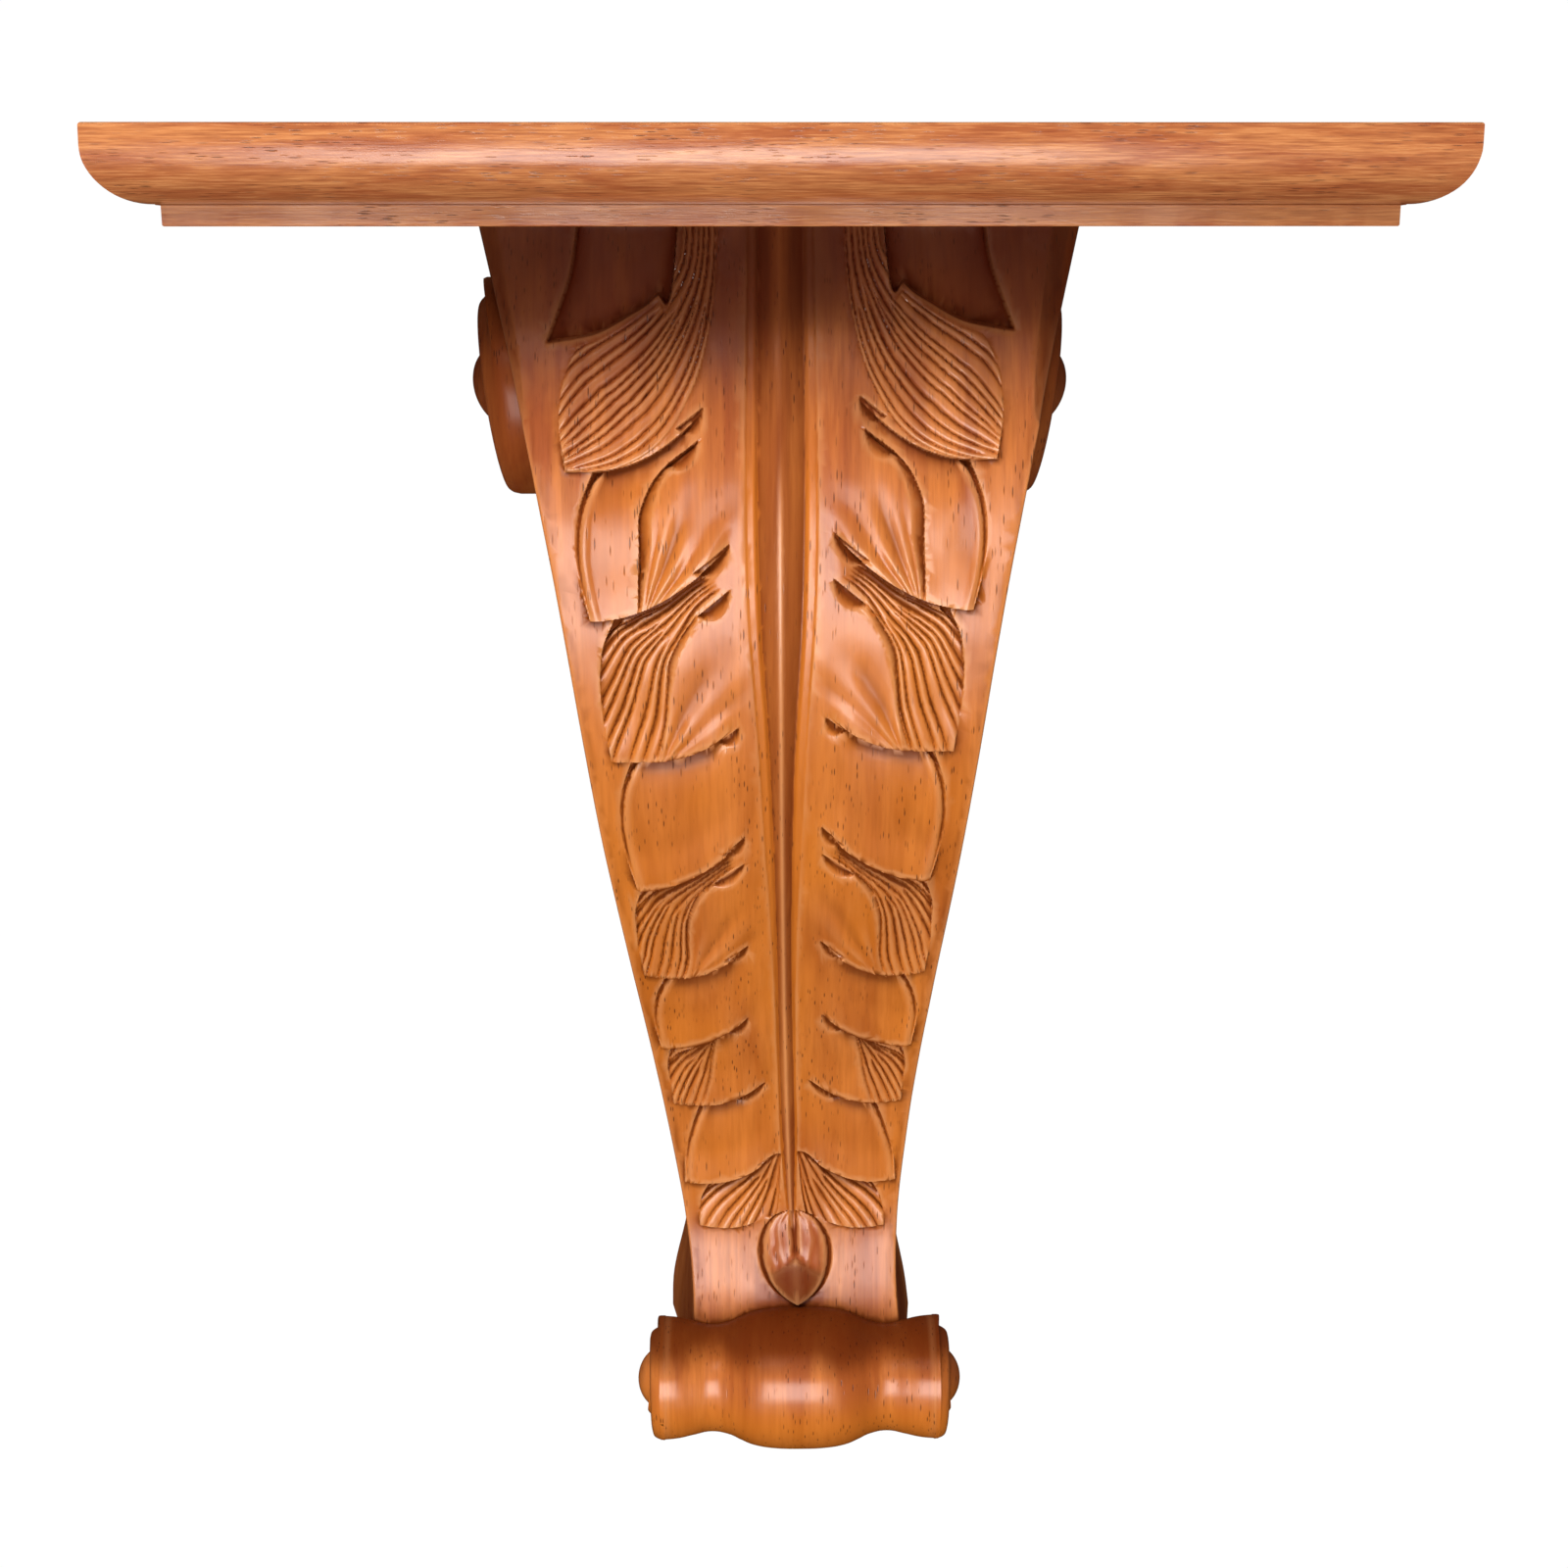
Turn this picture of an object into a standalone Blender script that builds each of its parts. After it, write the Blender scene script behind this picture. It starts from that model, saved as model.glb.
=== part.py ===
"""Carved mahogany wall bracket: a moulded shelf board on a scroll-fronted, leaf-carved corbel.

Metres, +Z up. The wall is the plane Y = 0, the front looks along -Y and +X is to the right.
The origin is on the corbel's flat back, on its centre line, where the bracket is fixed to the wall.
"""
import math

import bmesh
import bpy
import numpy as np

# The shelf board
BOARD_WIDTH = 0.430
BOARD_DEPTH = 0.205
BOARD_EDGE = 0.007        # plain upright edge above the quarter round
OVOLO_RADIUS = 0.018      # quarter round worked on the front and both ends
OVOLO_QUIRK = 0.0015      # small flat between the quarter round and the fillet
FILLET_HEIGHT = 0.0065    # thin square step under the quarter round
BOARD_ARRIS = 0.0008      # worn top edge
OVOLO_SEGMENTS = 8

# The corbel's main sizes
BRACKET_HEIGHT = 0.5152   # from the board's flat top down to the lowest point of the scroll roll
HANGER_DROP = 0.100       # from the board's underside down to the origin
TOP_WIDTH = 0.207         # across the front face under the board
BELLY_DEPTH = 0.150       # greatest reach of the front face from the wall
JOINT_GAP = 0.0003        # between the board's underside and the corbel's top
FOOT_DRIFT = 0.008        # the hand-cut foot wanders this far to the right
RIGHT_LIFT = 0.004        # the right-hand leaves are set out this much higher
CHAMFER_WIDTH = 0.009     # stopped chamfer on the two top front corners
CHAMFER_DROP = 0.055      # where that chamfer runs out
BACK_FLARE = 0.010        # how much further out the foot stands at the wall, on the left
RIGHT_FLARE = 0.005       # and on the right

# The scroll roll at the foot, turned about an axis along X
ROLL_DEPTH = 0.068
ROLL_LENGTH = 0.116
BARREL_RADIUS = 0.0282
BARREL_HALF = 0.016
WAIST_RADIUS = 0.0210
WAIST_PLACE = 0.035
COLLAR_RADIUS = 0.0245
COLLAR_WIDTH = 0.003
END_BOSS_RADIUS = 0.0135
END_BOSS_REACH = 0.0068
ROLL_SIDES = 24

# The volutes on the two side faces
VOLUTE_DROP = 0.057
VOLUTE_DEPTH = 0.097
VOLUTE_RADIUS = 0.038
VOLUTE_LEAN = 0.0035      # the two hand-cut volutes stand this far to the left of the middle
VOLUTE_REACH = 0.0115     # how far the scroll's band stands off the straight side
VOLUTE_GROOVE = 0.0045    # depth of the hollow between two turns of the band
VOLUTE_TURNS = 1.5
VOLUTE_BOSS_RADIUS = 0.0145
VOLUTE_BOSS_REACH = 0.0185
VOLUTE_SIDES = 30
VOLUTE_RINGS = 12

# Relief of the carving, measured square to the front face
STEP_DIP = 0.0018         # how far a leaf sinks under the edge above it
STEP_RISE = 0.0013        # how far it lifts at its own lower edge
FLUTE_DEPTH = 0.0014
DIVISION_DEPTH = 0.0020
DIVISION_HALF = 0.0016
PILLOW_RISE = 0.0009
EYE_DEPTH = 0.0013
EYE_LENGTH = 0.0095
EYE_WIDTH = 0.0038
PANEL_DEPTH = 0.0026
RIB_RISE = 0.0022
RIB_COVE = 0.0012
BUD_RISE = 0.0034
STEP_EASE = 0.0010        # width of the wall from one leaf's edge down to the next leaf
FACE_STEP = 0.0017        # spacing of the carved face's grid before it is thinned
FACE_TRIANGLES = 6300

# The pattern that the face is carved to, drawn in millimetres: half as wide as PATTERN_HALF and
# PATTERN_DROP long. Each size above stretches it.
PATTERN_DROP = 455.5
PATTERN_HALF = 103.5
PATTERN_BELLY = 150.0
MM = 0.001

# Side view of the front face: (drop, reach from the wall)
SCROLL_PROFILE = ((0, 122), (50, 142), (104, 150), (160, 145), (220, 126), (280, 97), (340, 69),
                  (390, 57.5), (430, 61), (455.5, 60))
# Front view of one side edge: (drop, distance from the centre line)
SIDE_OUTLINE = ((0, 103.5), (45, 92), (107, 79.7), (225, 63.7), (353, 46.6), (390, 42.5),
                (418, 41), (455.5, 43))
# Half the width of the middle rib
RIB_OUTLINE = ((0, 11.2), (135, 11.2), (170, 8.9), (208, 7.0), (260, 4.6), (315, 3.5), (363, 3.1), (404, 0.4))

LOBE = "plain lobe"
FAN = "fluted fan"
# One row for each leaf, from the top: its kind, the outer corner of its lower edge (out, drop), the
# eye at the edge's inner end (out, drop), where its outer side starts (out), how far that side bows
# out, the power of the lower edge's sweep, and how far the edge sags before it rises
LEAVES = (
    (FAN, (71.5, 81), (25, 60), 71.5, 2.0, 2.5, 1.0),
    (LOBE, (64.5, 132.5), (17, 106), 62.5, 4.3, 2.0, 0.0),
    (FAN, (58.5, 184), (16.5, 171), 56.5, 3.9, 3.3, 0.4),
    (LOBE, (52.5, 236), (13, 215), 51.5, 5.0, 1.7, 1.5),
    (FAN, (52, 274.5), (12.5, 262), 51.5, 1.4, 2.4, 3.0),
    (LOBE, (47.5, 309.5), (13.5, 295.5), 42.7, 4.2, 1.8, 1.5),
    (FAN, (44, 337), (8, 327), 43.0, 1.3, 2.2, 2.4),
    (LOBE, (41.5, 374), (5, 362), 32.5, 2.0, 2.2, 2.4),
    (FAN, (36, 394), (10, 391), 31.0, 2.3, 2.0, 2.0),
)
# The groove that parts a leaf from the smooth flesh beside the rib: leaf number, start (out, drop),
# end (out, drop), and the power of its bend
DIVISIONS = (
    (1, (27.3, 71.6), (47.9, 130), 0.28),
    (2, (27.9, 131), (44.3, 184), 0.60),
    (4, (14.8, 228), (36, 274), 0.35),
    (6, (26.1, 306), (32.3, 337), 1.00),
)
# The fans below the first: leaf number, the neck (out, drop) that its flutes spring from, the
# directions of its lowest and highest flute in degrees from straight down, and the flute count
FANS = (
    (2, (20, 119), 12, 84, 9),
    (4, (12, 222), 18, 86, 8),
    (6, (24, 296), 8, 80, 6),
    (8, (2, 358), 14, 82, 7),
)
# The first fan's flutes are arcs about a point outside the face, at (out, drop)
TOP_FAN_PIVOT = (75, 0)
TOP_FAN_INNER = 38.5
TOP_FAN_START = 55.0
TOP_FAN_SPREAD = 26.4
TOP_FAN_FLUTES = 9
# The bud that closes the rib: middle (out, drop), half width, reach up and reach down to its tip
BUD = (0.8, 405, 13.2, 17, 23)

BOARD_THICKNESS = BOARD_EDGE + OVOLO_RADIUS + FILLET_HEIGHT
FILLET_INSET = OVOLO_RADIUS + OVOLO_QUIRK
ROLL_DROP = BRACKET_HEIGHT - BOARD_THICKNESS - BARREL_RADIUS   # from the board's underside to the roll's axis
SCALE_DROP = ROLL_DROP / (PATTERN_DROP * MM)
SCALE_OUT = TOP_WIDTH / (2 * PATTERN_HALF * MM)
SCALE_REACH = BELLY_DEPTH / (PATTERN_BELLY * MM)


def clear_scene():
    """Remove every object that is already in the file."""
    for obj in list(bpy.data.objects):
        bpy.data.objects.remove(obj, do_unlink=True)


def make_collection(name):
    """Return a new collection linked to the scene."""
    collection = bpy.data.collections.new(name)
    bpy.context.scene.collection.children.link(collection)
    return collection


def make_material(name, colour, roughness):
    """Return a plain Principled material, colour in linear light."""
    material = bpy.data.materials.new(name)
    material.use_nodes = True
    shader = material.node_tree.nodes["Principled BSDF"]
    shader.inputs["Base Color"].default_value = (*colour, 1.0)
    shader.inputs["Roughness"].default_value = roughness
    shader.inputs["Metallic"].default_value = 0.0
    return material


def add_object(name, mesh, collection, material=None):
    """Put a mesh in the scene as a named object."""
    obj = bpy.data.objects.new(name, mesh)
    if material is not None:
        mesh.materials.append(material)
    collection.objects.link(obj)
    return obj


def mesh_from(bm, name):
    """Turn a bmesh into a mesh with its faces pointing out."""
    bmesh.ops.recalc_face_normals(bm, faces=bm.faces)
    mesh = bpy.data.meshes.new(name)
    bm.to_mesh(mesh)
    bm.free()
    return mesh


def as_tool(obj):
    """Mark an object as a helper that only shapes another one."""
    obj.hide_render = True
    obj.display_type = 'WIRE'
    return obj


def smooth_step(value):
    """Ease from 0 to 1 as the value goes from 0 to 1."""
    value = np.clip(value, 0.0, 1.0)
    return value * value * (3.0 - 2.0 * value)


def smooth_through(points, place):
    """Read a smooth curve through (place, value) points."""
    xs = np.array([p[0] for p in points], float)
    ys = np.array([p[1] for p in points], float)
    slopes = np.gradient(ys, xs)
    slopes[0] = (ys[1] - ys[0]) / (xs[1] - xs[0])
    slopes[-1] = (ys[-1] - ys[-2]) / (xs[-1] - xs[-2])
    place = np.clip(place, xs[0], xs[-1])
    i = np.clip(np.searchsorted(xs, place, side="right") - 1, 0, len(xs) - 2)
    span = xs[i + 1] - xs[i]
    t = (place - xs[i]) / span
    return ((1 + 2 * t) * (1 - t) ** 2 * ys[i] + t * (1 - t) ** 2 * span * slopes[i]
            + t * t * (3 - 2 * t) * ys[i + 1] + t * t * (t - 1) * span * slopes[i + 1])


def face_reach(drop):
    """Distance of the uncarved front face from the wall, at a drop below the board."""
    return smooth_through(SCROLL_PROFILE, drop / (MM * SCALE_DROP)) * MM * SCALE_REACH


def half_width(drop):
    """Half the width of the front face at a drop below the board."""
    return smooth_through(SIDE_OUTLINE, drop / (MM * SCALE_DROP)) * MM * SCALE_OUT


def centre_line(drop):
    """Sideways place of the corbel's middle, which drifts towards the foot."""
    return FOOT_DRIFT * (drop / ROLL_DROP) ** 3


def straight_side(drop):
    """The side face's straight taper, carried on up past the flare under the board."""
    low, high = SIDE_OUTLINE[3], SIDE_OUTLINE[2]
    slope = (high[1] - low[1]) / (high[0] - low[0])
    return (high[1] + slope * (drop / (MM * SCALE_DROP) - high[0])) * MM * SCALE_OUT


def lower_edge(leaf, out):
    """Drop of a leaf's lower edge at a distance from the centre line, on the pattern."""
    _, corner, eye, _, _, power, sag = leaf
    t = np.clip((corner[0] - out) / (corner[0] - eye[0]), 0.0, 1.0)
    return corner[1] - (corner[1] - eye[1]) * t ** power + sag * np.sin(math.pi * t)


def division_line(division, drop):
    """Distance of a dividing groove from the centre line, and how far along it the drop is."""
    _, start, end, power = division
    t = (drop - start[1]) / (end[1] - start[1])
    return start[0] + (end[0] - start[0]) * np.clip(t, 0.0, 1.0) ** power, t


def flute_relief(phase, width):
    """Rounded flutes with sharp hollows between them, shallower where they are narrow."""
    depth = np.minimum(FLUTE_DEPTH / MM, 0.4 * width)
    return depth * (np.abs(np.sin(math.pi * phase)) ** 0.8 - 0.6)


def top_fan(out, drop):
    """Flutes of the first fan, which sweep outwards in arcs, and the sunk panel above them."""
    across = TOP_FAN_PIVOT[0] - out
    down = drop - TOP_FAN_PIVOT[1]
    radius = np.hypot(across, down)
    turn = np.clip(np.arctan2(down, across), 0.0, math.pi / 2)
    outer = TOP_FAN_START + TOP_FAN_SPREAD * np.sin(turn) ** 1.7
    share = (radius - TOP_FAN_INNER) / (outer - TOP_FAN_INNER)
    width = (outer - TOP_FAN_INNER) / TOP_FAN_FLUTES
    flutes = flute_relief(share * TOP_FAN_FLUTES, width) + 0.6
    on_fan = smooth_step(share * 12.0) * smooth_step((1.0 - share) * 12.0)
    panel = -PANEL_DEPTH / MM * smooth_step((0.0 - share) * 8.0)
    return flutes * on_fan + panel


def spring_fan(fan, out, drop):
    """Flutes that spring from a neck beside the rib and spread down and outwards."""
    _, neck, low, high, count = fan
    across, down = out - neck[0], drop - neck[1]
    radius = np.hypot(across, down)
    bend = 0.35 * radius
    angle = np.degrees(np.arctan2(across, np.maximum(down, 0.01))) + bend * 0.25
    share = (angle - low) / (high - low)
    width = radius * math.radians(high - low) / count
    return flute_relief(share * count, width)


def eye_relief(leaf, out, drop):
    """The lens-shaped gouge cut that ends a leaf's lower edge beside the rib."""
    _, corner, eye, _, _, _, _ = leaf
    length, width = EYE_LENGTH / MM, EYE_WIDTH / MM
    lean = math.radians(42)
    middle = (eye[0] + 0.42 * length * math.cos(lean), eye[1] + 0.42 * length * math.sin(lean) + 0.8)
    along = (out - middle[0]) * math.cos(lean) + (drop - middle[1]) * math.sin(lean)
    aside = -(out - middle[0]) * math.sin(lean) + (drop - middle[1]) * math.cos(lean)
    inside = 1.0 - (2 * along / length) ** 2 - (2 * aside / width) ** 2
    return -EYE_DEPTH / MM * smooth_step(inside)


def leaf_relief(out, drop):
    """Height of the two rows of leaves on the pattern, in millimetres."""
    height = np.zeros_like(out)
    upper = np.full_like(out, -30.0)
    upper_eye = 200.0
    for number, leaf in enumerate(LEAVES):
        kind, corner, eye, start, bow, _, _ = leaf
        lower = lower_edge(leaf, out)
        along = np.clip((drop - upper) / np.maximum(lower - upper, 1.0), 0.0, 1.0)
        side = start + (corner[0] - start) * along + bow * np.sin(math.pi * along)
        below = smooth_step((drop - upper) / (STEP_EASE / MM) + 0.5)
        size = 0.65 + 0.35 * corner[0] / LEAVES[0][1][0]
        fade_upper = smooth_step((out - upper_eye) / 9.0)
        fade_lower = smooth_step((out - eye[0]) / 9.0)
        relief = size * (STEP_RISE / MM * fade_lower * along ** 2 - STEP_DIP / MM * fade_upper * (1 - along) ** 1.6)
        if kind == LOBE:
            relief += PILLOW_RISE / MM * np.sin(math.pi * np.clip(out / side, 0.0, 1.0)) * along
            relief -= 0.9 * np.exp(-((side - out) / 1.6) ** 2)
        if number == 0:
            relief = relief * 0.6 + top_fan(out, drop)
        flesh = np.ones_like(out, bool)
        for division in DIVISIONS:
            if division[0] != number:
                continue
            line, share = division_line(division, drop)
            live = smooth_step(share * 8.0 + 0.4) * smooth_step((1.0 - share) * 8.0 + 0.6)
            relief -= DIVISION_DEPTH / MM * live * np.exp(-((out - line) / (DIVISION_HALF / MM)) ** 2)
            flesh = out > line + 0.8
        for fan in FANS:
            if fan[0] == number:
                relief += np.where(flesh, spring_fan(fan, out, drop), 0.0)
        relief *= smooth_step((side - out) / 1.2 + 0.5)
        height = height * (1.0 - below) + relief * below
        upper = lower
        upper_eye = eye[0]
    height *= 1.0 - smooth_step((drop - upper) / (STEP_EASE / MM) + 0.5)
    for leaf in LEAVES:
        height += eye_relief(leaf, out, drop)
    return height


def rib_relief(out, drop, height):
    """The middle rib: a raised astragal between two narrow coves, laid over the leaves."""
    half = smooth_through(RIB_OUTLINE, drop)
    core = 0.62 * half
    share = np.clip(out / core, 0.0, 1.0)
    ridge = RIB_RISE / MM * np.minimum(1.0, half / 8.0) * (1.0 - share ** 1.3)
    cove = -RIB_COVE / MM * np.minimum(1.0, half / 6.0) * np.sin(
        math.pi * np.clip((out - core) / (half - core), 0.0, 1.0))
    rib = np.where(out < core, ridge - 0.3, cove)
    on_rib = smooth_step((half - out) / 0.8 + 0.5) * smooth_step((RIB_OUTLINE[-1][0] - drop) / 4.0)
    return height * (1.0 - on_rib) + rib * on_rib


def bud_relief(across, drop, height):
    """The drop-shaped bud that closes the rib above the roll."""
    middle, place, half, up, down = BUD
    reach = np.where(drop < place, up, down)
    along = np.clip((drop - place) / reach, -1.0, 1.0)
    wide = half * np.where(along > 0, 1 - np.abs(along) ** 1.6, np.sqrt(1 - along ** 2))
    share = np.abs(across - middle) / np.maximum(wide, 0.05)
    inside = (share < 1.0) & (np.abs(along) < 1.0)
    swell = BUD_RISE / MM * np.maximum(1.0 - share ** 2, 0.0) ** 0.6 * (1.0 - 0.35 * np.abs(along))
    return np.where(inside, np.maximum(height, 0.0) * 0.3 + swell, height)


def carving(across, drop):
    """Relief of the whole front face in metres, at places in metres from the middle and the board."""
    wide = across / (MM * SCALE_OUT)
    down = drop / (MM * SCALE_DROP)
    lift = RIGHT_LIFT / MM * (0.3 + 0.7 * (1.0 - smooth_step((down - 230.0) / 50.0)))
    lift = lift * (1.0 - smooth_step((down - 360.0) / 30.0))
    out = np.abs(wide)
    height = leaf_relief(out, np.where(wide > 0, down + lift, down))
    height = rib_relief(out, down, height)
    return bud_relief(wide, down, height) * MM


def chamfer(out, drop, half):
    """How far the stopped chamfer cuts the front corner back."""
    width = CHAMFER_WIDTH * np.sqrt(np.clip(1.0 - drop / CHAMFER_DROP, 0.0, 1.0))
    return np.clip(out - (half - width), 0.0, None)


def face_point(side, drop):
    """Place of the carved face: side runs from -1 at the left edge to 1 at the right edge."""
    half = half_width(drop)
    across = side * half
    nudge = 0.0005
    slope = (face_reach(drop + nudge) - face_reach(drop - nudge)) / (2 * nudge)
    reach = face_reach(drop) + carving(across, drop) * np.sqrt(1.0 + slope ** 2)
    reach = reach - chamfer(np.abs(across), drop, half)
    return across + centre_line(drop), -reach, HANGER_DROP - drop


def carved_face(collection):
    """Return the carved front as an open mesh, thinned where it is smooth."""
    rows = max(8, round(ROLL_DROP / FACE_STEP))
    columns = max(8, round(0.8 * TOP_WIDTH / FACE_STEP))
    bm = bmesh.new()
    bmesh.ops.create_grid(bm, x_segments=columns, y_segments=rows, size=1.0)
    flat = np.array([vert.co[:2] for vert in bm.verts])
    drop = JOINT_GAP + (ROLL_DROP - JOINT_GAP) * (1.0 - flat[:, 1]) / 2.0
    x, y, z = face_point(flat[:, 0], drop)
    for i, vert in enumerate(bm.verts):
        vert.co = (x[i], y[i], z[i])
    bmesh.ops.triangulate(bm, faces=bm.faces)
    count = len(bm.faces)
    face = add_object("carved_face", mesh_from(bm, "carved_face"), collection)
    thin = face.modifiers.new("thin", 'DECIMATE')
    thin.ratio = min(1.0, FACE_TRIANGLES / count)
    evaluated = face.evaluated_get(bpy.context.evaluated_depsgraph_get())
    mesh = bpy.data.meshes.new_from_object(evaluated)
    bpy.data.objects.remove(face, do_unlink=True)
    return mesh


def corbel_block(name, collection, material):
    """Close the carved face with the two sides, the flat top and the flat back against the wall."""
    bm = bmesh.new()
    bm.from_mesh(carved_face(collection))
    top, bottom = HANGER_DROP - JOINT_GAP, HANGER_DROP - ROLL_DROP
    rim = [edge for edge in bm.edges if edge.is_boundary]
    for vert in {vert for edge in rim for vert in edge.verts}:
        if vert.co.z > top - FACE_STEP / 3:
            vert.co.z = top
        if vert.co.z < bottom + FACE_STEP / 3:
            vert.co.z = bottom
    grown = bmesh.ops.extrude_edge_only(bm, edges=rim)
    back = [item for item in grown["geom"] if isinstance(item, bmesh.types.BMVert)]
    for vert in back:
        drop = HANGER_DROP - vert.co.z
        middle = centre_line(drop)
        flare = BACK_FLARE if vert.co.x < middle else RIGHT_FLARE
        flare *= float(smooth_step((drop / ROLL_DROP - 0.86) / 0.12))
        half = float(half_width(drop))
        vert.co.x += flare * (vert.co.x - middle) / half
        vert.co.y = 0.0
    loop = [item for item in grown["geom"] if isinstance(item, bmesh.types.BMEdge) and item.is_boundary]
    bmesh.ops.contextual_create(bm, geom=loop)
    bmesh.ops.triangulate(bm, faces=[face for face in bm.faces if len(face.verts) > 3])
    return add_object(name, mesh_from(bm, name), collection, material)


def roll_profile():
    """Half outline of the scroll roll as (place along the axis, radius), from end to end."""
    half = ROLL_LENGTH / 2
    side = [(half + END_BOSS_REACH, 0.0)]
    for step in range(1, 5):
        angle = math.pi / 2 * step / 4
        side.append((half + END_BOSS_REACH * math.cos(angle), END_BOSS_RADIUS * math.sin(angle)))
    side.append((half, COLLAR_RADIUS - BOARD_ARRIS))
    side.append((half - BOARD_ARRIS, COLLAR_RADIUS))
    side.append((half - COLLAR_WIDTH, COLLAR_RADIUS))
    for start, end, low, high in ((half - COLLAR_WIDTH, WAIST_PLACE, COLLAR_RADIUS, WAIST_RADIUS),
                                  (WAIST_PLACE, BARREL_HALF, WAIST_RADIUS, BARREL_RADIUS)):
        for step in range(1, 5):
            t = step / 4
            ease = t * t * (3 - 2 * t)
            side.append((start + (end - start) * t, low + (high - low) * ease))
    return side + [(-place, radius) for place, radius in reversed(side)]


def scroll_roll(name, collection):
    """Turn the roll about its axis and lay it across the foot."""
    bm = bmesh.new()
    verts = [bm.verts.new((radius, 0.0, place)) for place, radius in roll_profile()]
    for a, b in zip(verts, verts[1:]):
        bm.edges.new((a, b))
    mesh = bpy.data.meshes.new(name)
    bm.to_mesh(mesh)
    bm.free()
    roll = add_object(name, mesh, collection)
    screw = roll.modifiers.new("turn", 'SCREW')
    screw.axis = 'Z'
    screw.steps = ROLL_SIDES
    screw.render_steps = ROLL_SIDES
    screw.use_merge_vertices = True
    screw.merge_threshold = 0.00005
    roll.rotation_euler = (0.0, math.pi / 2, 0.0)
    roll.location = (centre_line(ROLL_DROP), -ROLL_DEPTH, HANGER_DROP - ROLL_DROP)
    return as_tool(roll)


def volute_height(radius, angle):
    """Height of the side scroll over the straight side face, in metres."""
    inner, outer = VOLUTE_BOSS_RADIUS, VOLUTE_RADIUS
    pitch = (outer - inner) / VOLUTE_TURNS
    phase = (outer - radius) / pitch - angle / (2 * math.pi)
    band = VOLUTE_REACH - VOLUTE_GROOVE * abs(math.cos(math.pi * phase)) ** 3
    if radius >= outer - 1e-9:
        return VOLUTE_REACH - VOLUTE_GROOVE
    if radius > inner:
        return band
    dome = math.sqrt(max(0.0, 1.0 - (radius / inner) ** 2))
    return VOLUTE_REACH - VOLUTE_GROOVE + (VOLUTE_BOSS_REACH - VOLUTE_REACH + VOLUTE_GROOVE) * dome


def side_volute(name, side, collection):
    """One spiral scroll with its boss, standing on a side face; side is -1 left or 1 right."""
    bm = bmesh.new()
    bmesh.ops.create_circle(bm, segments=VOLUTE_SIDES, radius=VOLUTE_RADIUS, cap_ends=False)
    rim = list(bm.edges)
    shares = [1.0 - step / VOLUTE_RINGS for step in range(1, VOLUTE_RINGS)]
    for share in shares:
        grown = bmesh.ops.extrude_edge_only(bm, edges=rim)["geom"]
        rim = [item for item in grown if isinstance(item, bmesh.types.BMEdge)]
        for vert in [item for item in grown if isinstance(item, bmesh.types.BMVert)]:
            flat = vert.co.xy.normalized() * VOLUTE_RADIUS * share
            vert.co.xy = flat
    bmesh.ops.contextual_create(bm, geom=[edge for edge in rim])
    bmesh.ops.poke(bm, faces=[face for face in bm.faces if len(face.verts) > 4])
    for vert in bm.verts:
        vert.co.z = volute_height(vert.co.xy.length, math.atan2(vert.co.y, vert.co.x) + math.pi)
    outer = [edge for edge in bm.edges if edge.is_boundary]
    grown = bmesh.ops.extrude_edge_only(bm, edges=outer)["geom"]
    for vert in [item for item in grown if isinstance(item, bmesh.types.BMVert)]:
        vert.co.z = -VOLUTE_REACH
    bmesh.ops.contextual_create(bm, geom=[item for item in grown if isinstance(item, bmesh.types.BMEdge)])
    bmesh.ops.triangulate(bm, faces=bm.faces)
    nudge = 0.01
    slope = (straight_side(VOLUTE_DROP + nudge) - straight_side(VOLUTE_DROP - nudge)) / (2 * nudge)
    stand = straight_side(VOLUTE_DROP)
    for vert in bm.verts:
        out = stand + vert.co.z - slope * vert.co.y
        middle = centre_line(VOLUTE_DROP) - VOLUTE_LEAN
        vert.co = (middle + side * out, -VOLUTE_DEPTH - vert.co.x, HANGER_DROP - VOLUTE_DROP + vert.co.y)
    return as_tool(add_object(name, mesh_from(bm, name), collection))


def join(target, tool):
    """Unite a helper with the target."""
    union = target.modifiers.new("join_" + tool.name, 'BOOLEAN')
    union.operation = 'UNION'
    union.object = tool


def corbel(parts, tools):
    """The corbel, carved as one piece: block, volutes and scroll roll."""
    wood = make_material("carved_mahogany", (0.36, 0.13, 0.05), 0.34)
    block = corbel_block("corbel", parts, wood)
    join(block, side_volute("left_volute", -1, tools))
    join(block, side_volute("right_volute", 1, tools))
    join(block, scroll_roll("scroll_roll", tools))
    return block


def box(bm, low, high):
    """Add a box between two corners and return its vertices."""
    made = bmesh.ops.create_cube(bm, size=1.0)["verts"]
    for vert in made:
        vert.co = [low[i] if vert.co[i] < 0 else high[i] for i in range(3)]
    return made


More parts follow.
